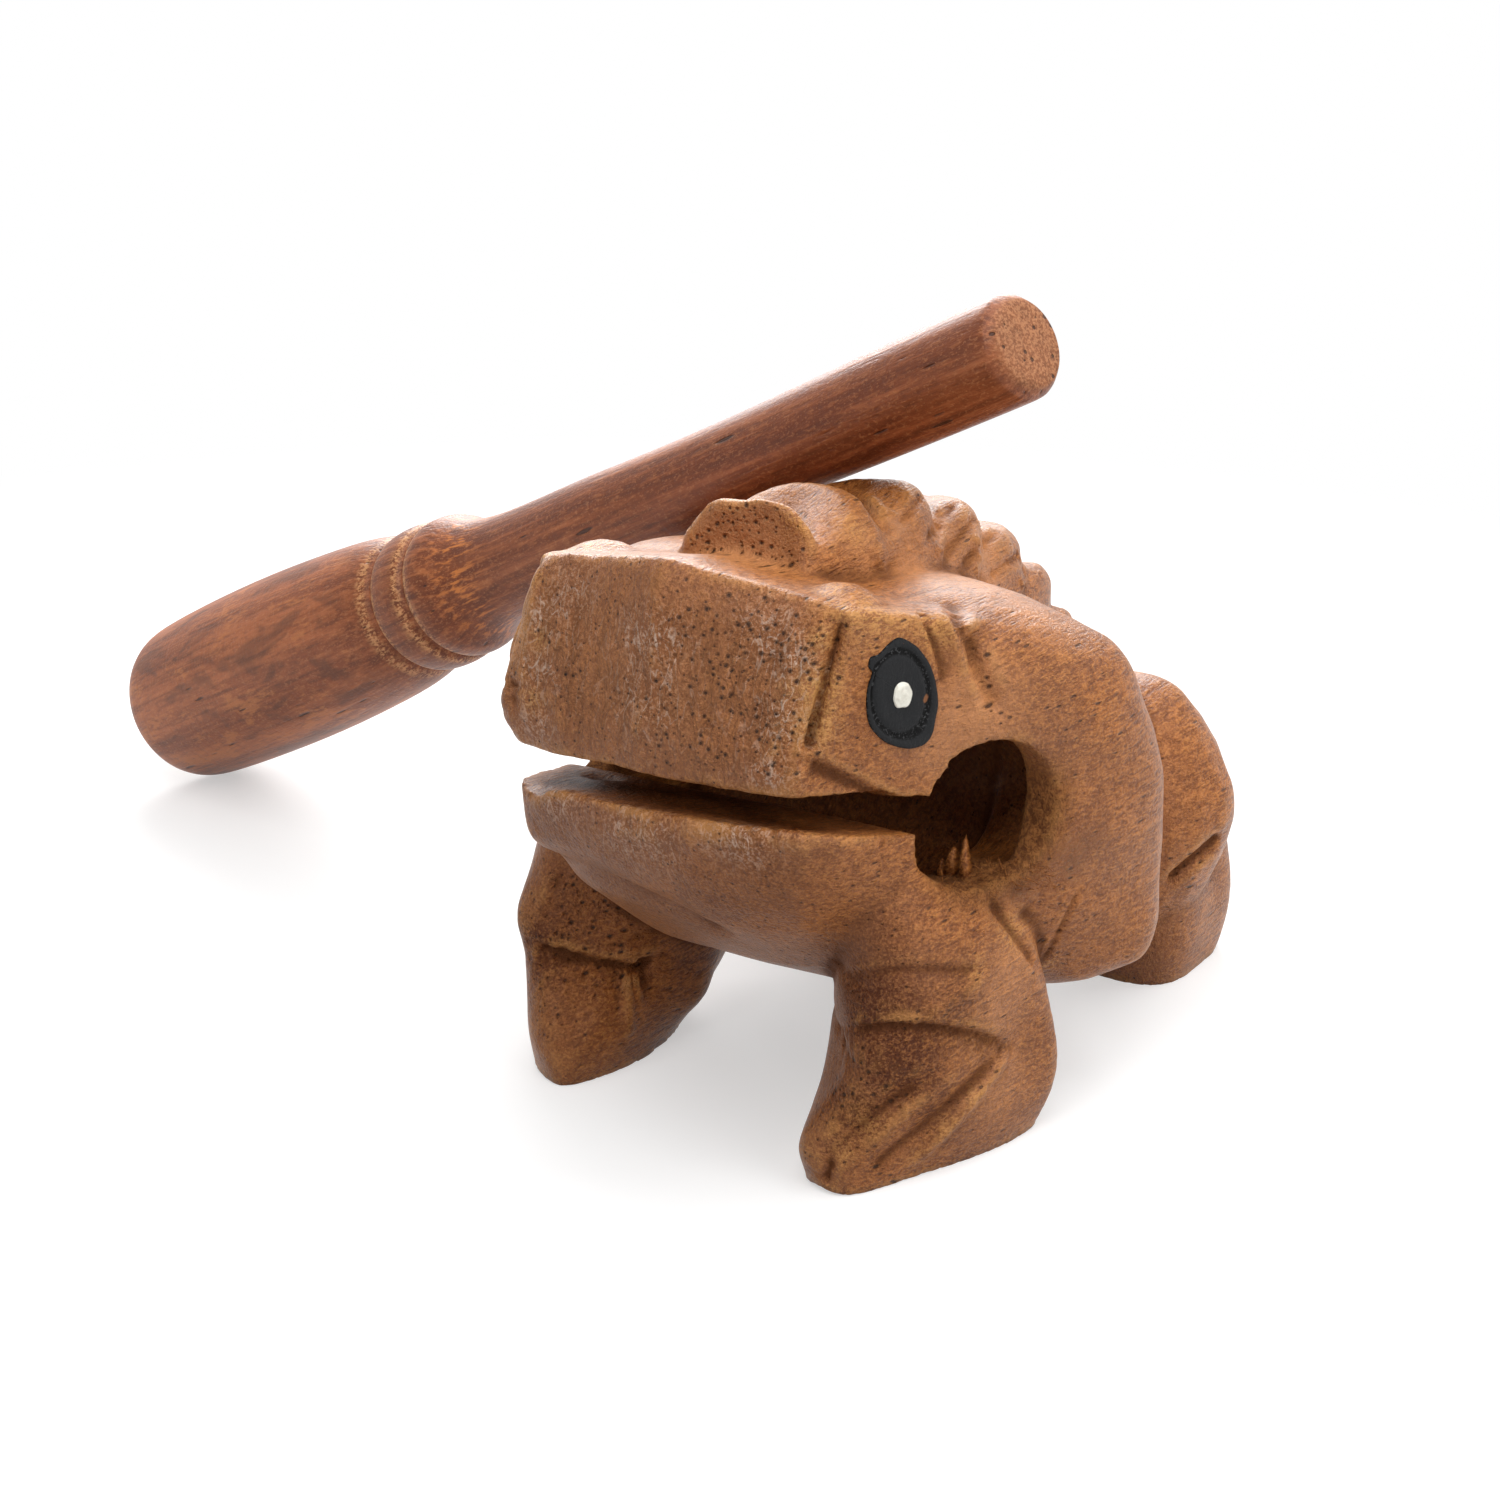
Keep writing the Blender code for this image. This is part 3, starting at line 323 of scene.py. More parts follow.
# Studio in metres and watts. Lamps: place, target, size, power
FLOOR_HALF = 4.0
FLOOR_WHITE = 0.57
FLOOR_LIFT = 0.495
FLOOR_FADE = (0.13, 0.26)
WORLD_FILL = 0.08
WHITE = (1, 1, 1, 1)
LAMPS = {
    "top_softbox": ((0.05, 0.05, 0.68), (0.02, 0.0, 0.03), 0.60, 1.85),
    "top_front_softbox": ((0.08, -0.34, 0.62), (0.02, 0.0, 0.03), 0.50, 2.1),
    "top_rear_softbox": ((0.30, 0.30, 0.55), (0.02, 0.0, 0.03), 0.50, 1.9),
    "right_softbox": ((0.62, -0.08, 0.28), (0.02, 0.0, 0.03), 0.45, 1.5),
    "back_softbox": ((-0.33, 0.50, 0.36), (0.02, 0.0, 0.06), 0.45, 5.6),
    "front_softbox": ((0.06, -0.62, 0.38), (0.03, -0.02, 0.05), 0.14, 0.5),
}


def deselect():
    """Leaves edit mode and selects nothing."""
    if bpy.context.object and bpy.context.object.mode != "OBJECT":
        bpy.ops.object.mode_set(mode="OBJECT")
    bpy.ops.object.select_all(action="DESELECT")


def pick(piece):
    """Makes one piece the selected and active one."""
    deselect()
    piece.select_set(True)
    bpy.context.view_layer.objects.active = piece


def apply_modifier(piece, kind, **settings):
    """Adds one modifier to a piece and applies it."""
    pick(piece)
    bpy.ops.object.modifier_add(type=kind)
    modifier = piece.modifiers[-1]
    for key, value in settings.items():
        setattr(modifier, key, value)
    bpy.ops.object.modifier_apply(modifier=modifier.name)


def merge_points(piece, gap, turn_faces=False):
    """Merges points that lie closer than a gap in mm, and turns the faces outwards if asked to."""
    pick(piece)
    bpy.ops.object.mode_set(mode="EDIT")
    bpy.ops.mesh.select_all(action="SELECT")
    bpy.ops.mesh.remove_doubles(threshold=gap * MM)
    if turn_faces:
        bpy.ops.mesh.normals_make_consistent(inside=False)
    bpy.ops.object.mode_set(mode="OBJECT")


def in_scene(name, data):
    """A new object with its data, in the scene."""
    made = bpy.data.objects.new(name, data)
    bpy.context.scene.collection.objects.link(made)
    return made


def merged_copy(node, name):
    """A new piece with a CAD node's mesh, its loose triangles merged."""
    piece = in_scene(name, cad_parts[node].data.copy())
    piece.data.materials.clear()
    merge_points(piece, CAD_MERGE)
    return piece


def mesh_piece(name, points, faces):
    """A new smooth piece from points and faces."""
    mesh = bpy.data.meshes.new(name)
    mesh.from_pydata([tuple(p) for p in points], [], faces)
    mesh.shade_smooth()
    return in_scene(name, mesh)


def vertex_array(piece):
    """A piece's points as an array."""
    points = np.zeros(len(piece.data.vertices) * 3)
    piece.data.vertices.foreach_get("co", points)
    return points.reshape(-1, 3)


def keep_value(piece, name, values):
    """Stores one value for each point of a piece, for its finish."""
    piece.data.attributes.new(name, "FLOAT", "POINT").data.foreach_set("value", values)


def give(piece, body, slot, finish, *nodes):
    """Puts a piece on its body with its finish, and hides the CAD nodes that it stands for; its slot is not
    used.
    """
    piece.data.materials.append(finish)
    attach(piece, body)
    if nodes:
        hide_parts(*nodes)


def ramp(values, ends):
    """Values as shares of the way from one end to the other, from 0 to 1."""
    low, high = ends
    return np.clip((values - low) / (high - low), 0, 1)


def bell(values, middle, width):
    """Shares that are 1 at a middle and fade over a width on both sides."""
    return np.exp(-((values - middle) / width) ** 2)


def closeness(points, middle, radius):
    """Shares that are 1 for points at a middle and fade over a radius in mm."""
    gaps = np.linalg.norm(points - np.array(middle), axis=1)
    return bell(gaps / MM, 0, radius)


def noise_at(places):
    """Noise at places, one value each."""
    return np.array([noise.noise(Vector(place)) for place in places])


# Camera

EYE_CORNERS = [corner for side in ("left", "right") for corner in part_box(side + "_eye_paint")]
MIDPLANE = sum(corner.x for corner in EYE_CORNERS) / len(EYE_CORNERS)
FROG_PLACE = Vector((MIDPLANE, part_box("frog_body")[0].y + SNOUT_REACH * MM, 0))


def point_along(thing, place, direction):
    """Puts a lamp or the camera at a place, looking in a direction."""
    thing.location = place
    thing.rotation_mode = "QUATERNION"
    thing.rotation_quaternion = direction.to_track_quat("-Z", "Y")


def make_camera():
    """The camera at the photograph's place, looking at a point of the floor."""
    azimuth, elevation = math.radians(CAMERA_AZIMUTH), math.radians(CAMERA_ELEVATION)
    back = Vector((math.sin(azimuth) * math.cos(elevation), -math.cos(azimuth) * math.cos(elevation),
                   math.sin(elevation)))
    aim = FROG_PLACE + Vector((CAMERA_AIM[0] * MM, CAMERA_AIM[1] * MM, 0))
    lens = bpy.data.cameras.new("photo_camera")
    lens.sensor_width = SENSOR
    lens.lens = PHOTO_FOCAL / (2 * PHOTO_HALF) * SENSOR
    lens.clip_start, lens.clip_end = CAMERA_CLIP
    camera = in_scene("photo_camera", lens)
    point_along(camera, aim + back * CAMERA_DISTANCE * MM, -back)
    bpy.context.scene.camera = camera
    return camera


# Carving

def mirrored(point):
    """A point's mirror image on the other side of the frog."""
    return Vector((2 * MIDPLANE - point[0], point[1], point[2]))


class Skin:
    """The frog's fine mesh as arrays, with the carver's strokes on it."""

    def __init__(self, piece, camera):
        self.piece = piece
        self.points = vertex_array(piece)
        self.faces = [tuple(p.vertices) for p in piece.data.polygons]
        ends = np.zeros(len(piece.data.edges) * 2, np.int64)
        piece.data.edges.foreach_get("vertices", ends)
        self.ends = ends.reshape(-1, 2)
        self.links = np.bincount(self.ends.ravel(), minlength=len(self.points))[:, None]
        self.eye_point = camera.location.copy()
        self.turn = camera.rotation_quaternion.to_matrix()
        self.look_again()

    def look_again(self):
        """Makes rays hit the skin as it is now."""
        self.refresh()
        self.look = BVHTree.FromPolygons([tuple(p) for p in self.points], self.faces)

    def refresh(self):
        """Puts the points into the mesh, none of them below the table, and reads its normals back."""
        self.points[:, 2] = np.maximum(self.points[:, 2], 0)
        self.piece.data.vertices.foreach_set("co", self.points.ravel())
        self.piece.data.update()
        normals = np.zeros(len(self.points) * 3)
        self.piece.data.vertex_normals.foreach_get("vector", normals)
        self.normals = normals.reshape(-1, 3)

    def neighbour_mean(self, values):
        """Mean of each point's neighbours, for one column or several."""
        a, b = self.ends.T
        count = len(self.points)
        sums = [np.bincount(a, column[b], count) + np.bincount(b, column[a], count) for column in values.T]
        return np.stack(sums, 1) / self.links

    def smoothed(self, values, rounds, share=1.0):
        """Values after some rounds of moving towards their neighbours' mean."""
        for _ in range(rounds):
            values = values + (self.neighbour_mean(values) - values) * share
        return values

    def seen(self, pixel):
        """Point and normal of the skin at a pixel of the photograph or, off the outline, nearby."""
        for step in range(LOST_PIXEL_TRIES):
            shift = LOST_PIXEL_STEP * step
            for dx, dy in LOST_PIXEL_WAYS if step else ((0, 0),):
                across = (pixel[0] + dx * shift - PHOTO_HALF) / PHOTO_FOCAL
                up = (PHOTO_HALF - pixel[1] - dy * shift) / PHOTO_FOCAL
                hit, normal, _, _ = self.look.ray_cast(self.eye_point, self.turn @ Vector((across, up, -1)))
                if hit:
                    return hit, normal
        raise ValueError(f"no wood near pixel {pixel}")

    def line(self, pixels):
        """Points and normals of the skin along a line of pixels."""
        found = []
        for start, end in zip(pixels, pixels[1:]):
            steps = max(2, int(math.dist(start, end) / LINE_STEP))
            for i in range(steps + (end == pixels[-1])):
                share = i / steps
                found.append(self.seen([a + (b - a) * share for a, b in zip(start, end)]))
        return np.array([p for p, _ in found]), np.array([n for _, n in found])

    def stroke(self, points, normals, kind, depth, width, reach, side):
        """Cuts a groove or a fold along a line on the skin."""
        far = max(GROOVE_SPAN * width, FOLD_SPAN * reach) * MM
        near = np.all((self.points > points.min(0) - far) & (self.points < points.max(0) + far), axis=1)
        chosen = np.nonzero(near)[0]
        skin = self.points[chosen]
        gaps = np.linalg.norm(skin[:, None] - points[None], axis=2)
        nearest = gaps.argmin(1)
        keep = gaps[np.arange(len(skin)), nearest] < far
        chosen, skin, nearest = chosen[keep], skin[keep], nearest[keep]
        tangents = np.gradient(points, axis=0)
        tangents /= np.linalg.norm(tangents, axis=1)[:, None]
        across = np.cross(normals, tangents)[nearest]
        offset = np.einsum("ij,ij->i", skin - points[nearest], across) / MM
        along = np.einsum("ij,ij->i", skin - points[nearest], tangents[nearest]) / MM
        facing = np.einsum("ij,ij->i", self.normals[chosen], normals[nearest]) > 0
        place = nearest / (len(points) - 1)
        ends = np.clip(np.minimum(place, 1 - place) / STROKE_FADE, STROKE_END, 1)
        ends *= np.exp(-(along / width) ** 2 / 2)
        if kind == "groove":
            cut = bell(offset, 0, width)
        else:
            lower = side * offset
            edge = np.clip(lower / width + 0.5, 0, 1)
            cut = edge * edge * (3 - 2 * edge) * np.clip(1 - lower / reach, 0, 1) ** FOLD_POWER
        self.points[chosen] -= self.normals[chosen] * (cut * ends * facing * depth * MM)[:, None]

    def mark(self, spots, both=True):
        """A value for each point, high near the spots of a list, and on the hidden side too if asked to."""
        total = np.zeros(len(self.points))
        for pixel, radius, strength in spots:
            middle, _ = self.seen(pixel)
            for place in (middle, mirrored(middle))[:1 + both]:
                total = np.maximum(total, strength * closeness(self.points, place, radius))
        return total


def frog_places(skin):
    """The skin's points in mm, from the frog's midplane, as the part's source has them."""
    return (skin.points - np.array(FROG_PLACE)) / MM


def hole_distance(skin):
    """How far each point lies from the middle of the stick hole, in mm."""
    places = frog_places(skin)
    return np.hypot(places[:, 1] - HOLE_Y, places[:, 2] - HOLE_Z)


def rim_closeness(skin):
    """How close each point lies to the lips or to the edge of the stick hole, from 0 to 1."""
    places = frog_places(skin)
    roll = Matrix.Rotation(-math.radians(MOUTH_ROLL), 3, "Y")
    pitch = Matrix.Rotation(-math.radians(MOUTH_PITCH), 3, "X")
    lips = (places - (0, 0, MOUTH_HEIGHT)) @ np.array(roll @ pitch @ Vector((0, 0, 1)))
    return np.maximum(bell(lips, 0, LIP_ZONE) * (places[:, 1] < HOLE_Y),
                      bell(hole_distance(skin), HOLE_RADIUS, HOLE_ZONE))


def on_soles(skin):
    """Which points lie on the soles."""
    return skin.points[:, 2] < SOLE_ZONE * MM


def soften(skin):
    """Rounds the edges off, and runs neighbouring forms into each other."""
    share = SOFT_SHARE * (1 - RIM_KEEP * rim_closeness(skin))
    soles = on_soles(skin)
    share[soles] *= SOLE_SHARE
    skin.points = skin.smoothed(skin.points, SOFT_ROUNDS, share[:, None])
    skin.points[soles, 2] = 0
    skin.look_again()
    skin.points = skin.smoothed(skin.points, BLEND_ROUNDS, SOFT_SHARE * skin.mark(BLENDED)[:, None])
    skin.look_again()


def push_forms(skin):
    """Shifts parts of the form to where the photograph shows them."""
    right, up, back = (skin.turn @ Vector(axis) for axis in ((1, 0, 0), (0, 1, 0), (0, 0, 1)))
    for pixel, (across, down), radius in sum(PUSHES.values(), []):
        middle, _ = skin.seen(pixel)
        depth = (skin.eye_point - middle).dot(back)
        shift = (right * across - up * down) * depth / PHOTO_FOCAL
        skin.points += closeness(skin.points, middle, radius)[:, None] * np.array(shift)
    skin.look_again()


def cut_strokes(skin):
    """Cuts all strokes, and their mirror images on the hidden side."""
    for kind, depth, width, reach, side, both, pixels in STROKES.values():
        points, normals = skin.line(pixels)
        skin.stroke(points, normals, kind, depth, width, reach, side)
        if both:
            twins = [skin.look.find_nearest(mirrored(p))[:2] for p in points]
            far_points, far_normals = (np.array(column) for column in zip(*twins))
            skin.stroke(far_points, far_normals, kind, depth, width, reach, -side)
        skin.refresh()


def torn_edge(skin):
    """Where the drill tore the wood round the stick hole, from 0 to 1."""
    low, high = TORN_ZONE
    gap = hole_distance(skin)
    places = frog_places(skin)
    out = np.abs(places[:, 0]) > TORN_OUT
    slope = (places[:, 1] - HOLE_Y) * TORN_SLANT - (places[:, 2] - HOLE_Z)
    below = np.clip(slope / HOLE_RADIUS + TORN_RISE, 0, 1)
    return np.clip((high - gap) / (high - HOLE_RADIUS), 0, 1) * (gap > low) * out * below


def hole_shade(skin):
    """Painted shade inside the stick hole and the hollow behind the mouth, from 0 to 1."""
    near = np.clip((HOLE_RADIUS - hole_distance(skin)) / INNER_FADE + 1, 0, 1)
    return near * np.clip((INNER_DEEP - np.abs(frog_places(skin)[:, 0])) / INNER_DEEP_FADE, 0, 1)


def curvature(skin):
    """How far smoothing moves each point out, in mm: below zero on edges, above zero in folds."""
    moved = skin.smoothed(skin.points, CURVE_ROUNDS) - skin.points
    return np.einsum("ij,ij->i", moved, skin.normals) / MM


def roughen(skin):
    """Gives the skin the unevenness of hand carving, ripples the snout and chips sharp edges."""
    waves = noise_at(skin.points / (WAVE_SIZE * MM))
    chips = noise_at(skin.points / (CHIP_SIZE * MM))
    ripples = noise_at(skin.points / (np.array(RIPPLE_SIZE) * MM))
    sharp = np.clip(-curvature(skin) / CHIP_CURVE, 0, 1)
    sharp[on_soles(skin)] *= SOLE_CHIPS
    depth = waves * WAVE_DEPTH - sharp * np.clip(chips, 0, 1) * CHIP_DEPTH
    depth += torn_edge(skin) * chips * TORN_ROUGH
    depth += skin.mark(MARKS["rippled"]) * ripples * RIPPLE_DEPTH
    skin.points += skin.normals * (depth * MM)[:, None]
    skin.look_again()


def mark_wood(skin):
    """Keeps on the skin what its finish needs: wear on the edges, also a painted highlight, folds for
    painted shade, end grain, painted shade in the stick hole, and the marks of the photograph.
    """
    bend = skin.smoothed(curvature(skin)[:, None], BEND_ROUNDS)[:, 0]
    broad = skin.smoothed(skin.normals, BROAD_ROUNDS)
    # Worn edges: wear, and also a painted highlight on the convex edges
    keep_value(skin.piece, "worn", ramp(-bend, WORN_RANGE))
    # Folds, for painted shade in the creases
    keep_value(skin.piece, "fold", ramp(bend, FOLD_RANGE))
    keep_value(skin.piece, "end_grain", ramp(np.abs(broad[:, 1]), END_GRAIN_RANGE))
    keep_value(skin.piece, "torn", torn_edge(skin))
    # Painted shade inside the stick hole
    keep_value(skin.piece, "inner", hole_shade(skin))
    for name, spots in MARKS.items():
        keep_value(skin.piece, name, skin.mark(spots, name not in SEEN_SIDE_ONLY))


def carve_frog(camera):
    """The frog's skin: the CAD solid, finely meshed, softened, carved and marked."""
    frog = merged_copy("frog_body", "carved_frog")
    apply_modifier(frog, "REMESH", mode="VOXEL", voxel_size=SKIN_VOXEL * MM, adaptivity=0)
    apply_modifier(frog, "SMOOTH", factor=SKIN_SMOOTH_SHARE, iterations=SKIN_SMOOTH_ROUNDS)
    frog.data.shade_smooth()
    skin = Skin(frog, camera)
    soften(skin)
    push_forms(skin)
    cut_strokes(skin)
    roughen(skin)
    mark_wood(skin)
    made = sum(len(face) - 2 for face in skin.faces)
    apply_modifier(frog, "DECIMATE", ratio=min(1, SKIN_TRIANGLES / made))
    frog.data.shade_smooth()
    return skin


# Eyes

def ring_bands(count, rows):
    """Faces between rows of points that are closed rings of count points each."""
    return [(low + i, low + count + i, low + count + (i + 1) % count, low + (i + 1) % count)
            for low in range(0, (rows - 1) * count, count) for i in range(count)]


def brushed_patch(skin, name, loops, rings, swirl, mirror):
    """Paint on the skin in rings, each at its height above the wood. The share of a ring runs up to 1 from
    the middle to the first loop, and on from there to the next one."""
    count = len(loops[-1])
    normal = sum((skin.look.find_nearest(point)[1] for point in loops[-1]), Vector()).normalized()
    points, pressed = [], []
    for share, height in rings:
        step = min(int(share), len(loops) - 2)
        for i, (inner, outer) in enumerate(zip(loops[step], loops[step + 1])):
            flat = inner.lerp(outer, share - step)
            hit = skin.look.ray_cast(flat + normal * PAINT_RAY * MM, -normal)[0] or flat
            ripple = noise.noise(flat / (PAINT_RIPPLE * MM)) * EYE_UNEVEN if height > 0 else 0
            ripple += swirl * math.sin(2 * math.pi * (share * PAINT_TURNS - i / count))
            points.append(hit + normal * (height + ripple) * MM)
            pressed.append(height)
    points += [point - normal * PAINT_ROOT * MM for point in points[-count:]]
    pressed += pressed[-count:]
    middle = len(points)
    points.append(sum(points[:count], Vector()) / count)
    pressed.append(pressed[0])
    faces = [(middle, i, (i + 1) % count) for i in range(count)]
    faces += ring_bands(count, len(rings) + 1)
    faces.append(tuple(range(middle - 1, middle - count - 1, -1)))
    bare = np.zeros(len(points))
    for pixel, radius, strength in EYE_BARE:
        spot, _ = skin.seen(pixel)
        bare = np.maximum(bare, strength * closeness(np.array(points), spot, radius))
    piece = mesh_piece(name, [mirrored(point) for point in points] if mirror else points, faces)
    keep_value(piece, "bare", bare)
    keep_value(piece, "height", pressed)
    merge_points(piece, PIECE_MERGE, turn_faces=True)
    return piece


def smooth_outline(corners, count):
    """A closed smooth curve through corners, as evenly many points."""
    corners = np.array(corners)
    made = []
    for i in range(count):
        place = i / count * len(corners)
        k, t = int(place), place % 1
        a, b, c, d = (corners[(k + j) % len(corners)] for j in (-1, 0, 1, 2))
        made.append(b + 0.5 * t * (c - a + t * (2 * a - 5 * b + 4 * c - d + t * (3 * (b - c) + d - a))))
    return made


def oval_loops(skin):
    """Loops of places on the skin: the middle of the painted oval, its pressed disc and its outline."""
    edge = smooth_outline(EYE_OUTLINE, EYE_SPOKES)
    disc = []
    for x, y in edge:
        turn = math.atan2((y - EYE_MIDDLE[1]) / EYE_DISC_HALF[1], (x - EYE_MIDDLE[0]) / EYE_DISC_HALF[0])
        disc.append((EYE_DISC_MIDDLE[0] + EYE_DISC_HALF[0] * math.cos(turn),
                     EYE_DISC_MIDDLE[1] + EYE_DISC_HALF[1] * math.sin(turn)))
    return [[skin.seen(pixel)[0] for pixel in loop] for loop in ([EYE_MIDDLE] * EYE_SPOKES, disc, edge)]


def dab_loops(skin):
    """Loops of places on the skin: the middle of the off-white dab and its uneven outline."""
    middle, normal = skin.seen(DAB_MIDDLE)
    side = normal.cross(Vector((0, 0, 1))).normalized()
    up = side.cross(normal)
    edge = []
    for i in range(DAB_SPOKES):
        turn = 2 * math.pi * i / DAB_SPOKES
        across, rise = math.cos(turn), math.sin(turn)
        bend = noise.noise(Vector((across * DAB_BENDS, rise * DAB_BENDS, DAB_SAMPLE)))
        reach = side * across * DAB_HALF[0] + up * rise * DAB_HALF[1]
        edge.append(middle + reach * (1 + DAB_WOBBLE * bend) * MM)
    return [[middle] * DAB_SPOKES, edge]


def paint_eyes(skin, black, white):
    """The black ovals and their off-white dabs, the hidden side as the mirror of the seen one."""
    oval, dab = oval_loops(skin), dab_loops(skin)
    for side, mirror in (("left", False), ("right", True)):
        paint = brushed_patch(skin, side + "_eye_oval", oval, EYE_RINGS, 0, mirror)
        give(paint, "frog", "eye_black", black, side + "_eye_paint")
        spot = brushed_patch(skin, side + "_eye_dab", dab, DAB_RINGS, DAB_SWIRL, mirror)
        give(spot, "frog", "eye_white", white, side + "_eye_dot")


# Stick

def stick_frame():
    """Butt middle, direction and length of the CAD stick."""
    blank = merged_copy("striker", "stick_blank")
    points = vertex_array(blank)
    bpy.data.objects.remove(blank)
    middle = points.mean(0)
    axis = np.linalg.svd(points - middle, full_matrices=False)[2][0]
    axis *= 1 if axis[0] > 0 else -1
    along = (points - middle) @ axis
    return Vector(middle + axis * along.min()), Vector(axis), along.max() - along.min()


def draw_stick(length):
    """The stick standing on its butt, drawn out ring by ring from a disc."""
    deselect()
    bpy.ops.mesh.primitive_circle_add(vertices=STICK_SPOKES, radius=STICK_ROWS[0][1] * MM,
                                      fill_type="TRIFAN")
    stick = bpy.context.object
    stick.name = stick.data.name = "turned_stick"
    bpy.ops.object.mode_set(mode="EDIT")
    bpy.ops.mesh.select_all(action="SELECT")
    for (start, old), (end, new) in zip(STICK_ROWS, STICK_ROWS[1:]):
        bpy.ops.mesh.extrude_region_move(TRANSFORM_OT_translate={"value": (0, 0, (end - start) * length)})
        bpy.ops.transform.resize(value=(new / old, new / old, 1))
    bpy.ops.object.mode_set(mode="OBJECT")
    apply_modifier(stick, "SUBSURF", levels=1, render_levels=1)
    return stick


def mark_stick(stick, points, length):
    """Keeps on the stick what its finish needs: its upright places, cut ends, rims, neck and handle."""
    turned = stick.data.attributes.new("turned", "FLOAT_VECTOR", "POINT")
    turned.data.foreach_set("vector", points.ravel())
    end = np.minimum(points[:, 2], length - points[:, 2]) / MM
    share = points[:, 2] / length
    keep_value(stick, "cut_end", np.clip(1 - np.abs(end) / STICK_CUT_ZONE, 0, 1))
    keep_value(stick, "rim", np.max([bell(share, rim, STICK_RIM_WIDTH) for rim in STICK_RIMS], axis=0))
    keep_value(stick, "neck", bell(share, *STICK_NECK))
    keep_value(stick, "handle", np.clip((STICK_RIMS[0] - share) / STICK_HANDLE_FADE, 0, 1))


def turn_stick(finish):
    """The stick, turned a little unevenly, marked, then laid on its axis."""
    butt, axis, length = stick_frame()
    axis = (axis * length + Vector((0, 0, TIP_LIFT * MM))).normalized()
    length -= TIP_SHORT * MM
    stick = draw_stick(length)
    points = vertex_array(stick)
    waves = noise_at(points / (np.array(STICK_WAVE_SIZE) * MM))
    radii = np.hypot(points[:, 0], points[:, 1])
    wall = radii > MM
    points[wall, :2] *= (1 + waves[wall] * STICK_WAVE * MM / radii[wall])[:, None]
    mark_stick(stick, points, length)
    turn = np.array(axis.to_track_quat("Z", "Y").to_matrix())
    laid = points @ turn.T + np.array(butt)
    stick.data.vertices.foreach_set("co", laid.ravel())
    stick.data.shade_smooth()
    merge_points(stick, PIECE_MERGE, turn_faces=True)
    give(stick, "stick", "stick_wood", finish, "striker")


# Torn fibres

def add_spike(points, faces, root, direction, flat, length, width):
    """Adds one flat tapering splinter, its root sunk into the wood."""
    thick = direction.cross(flat).normalized() * width * SPIKE_THICK
    wide = flat * width / 2
    first = len(points)
    for share, size in SPIKE_ROWS:
        at = root + direction * length * share + flat * length * SPIKE_LEAN * share * share
        points.extend(at + side * size for side in (wide, thick, -wide, -thick))
    points.append(root + direction * length + flat * length * SPIKE_TIP_LEAN)
    tip = len(points) - 1
    for low in range(first, tip - 4, 4):
        faces.extend([(low + i, low + (i + 1) % 4, low + 4 + (i + 1) % 4, low + 4 + i) for i in range(4)])
    faces.extend([(tip - 4 + i, tip - 4 + (i + 1) % 4, tip) for i in range(4)])
    faces.append((first + 3, first + 2, first + 1, first))


def torn_fibres(skin, finish):
    """Splinters and loose fibres on the lower wall of the stick hole, as one piece."""
    draw = random.Random(FIBRE_SEED)
    points, faces = [], []
    for pixel, length, width in SPLINTERS:
        root, _ = skin.seen(pixel)
        tilt = Vector((*(draw.uniform(*lean) for lean in SPLINTER_LEANS), 1)).normalized()
        flat = Vector((*SPLINTER_FLAT, draw.uniform(*SPLINTER_TWIST)))
        flat = (flat - tilt * flat.dot(tilt)).normalized()
        add_spike(points, faces, root, tilt, flat, length * MM, width * MM)
    for _ in range(FIBRE_COUNT):
        root, normal = skin.seen([draw.uniform(*span) for span in FIBRE_PIXELS])
        direction = (normal + Vector([draw.uniform(*spread) for spread in FIBRE_SPREAD])).normalized()
        flat = direction.orthogonal().normalized()
        add_spike(points, faces, root, direction, flat, draw.uniform(*FIBRE_LENGTH) * MM, FIBRE_WIDTH * MM)
    piece = mesh_piece("torn_fibres", points, faces)
    merge_points(piece, PIECE_MERGE, turn_faces=True)
    give(piece, "frog", "carved_wood", finish)


# Finishes

class Wire:
    """A socket of a finish. Sums, differences and products of wires add Math nodes."""

    def __init__(self, finish, socket):
        self.finish, self.socket = finish, socket

    def math(self, operation, first, second):
        """The output of a Math node for two wires or numbers."""
        return self.finish.node("Math", {"operation": operation}, {0: first, 1: second})

    def __add__(self, other):
        return self.math("ADD", self, other)

    def __radd__(self, other):
        return self.math("ADD", other, self)

    def __sub__(self, other):
        return self.math("SUBTRACT", self, other)

    def __rsub__(self, other):
        return self.math("SUBTRACT", other, self)

    def __mul__(self, other):
        return self.math("MULTIPLY", self, other)

    def __rmul__(self, other):
        return self.math("MULTIPLY", other, self)


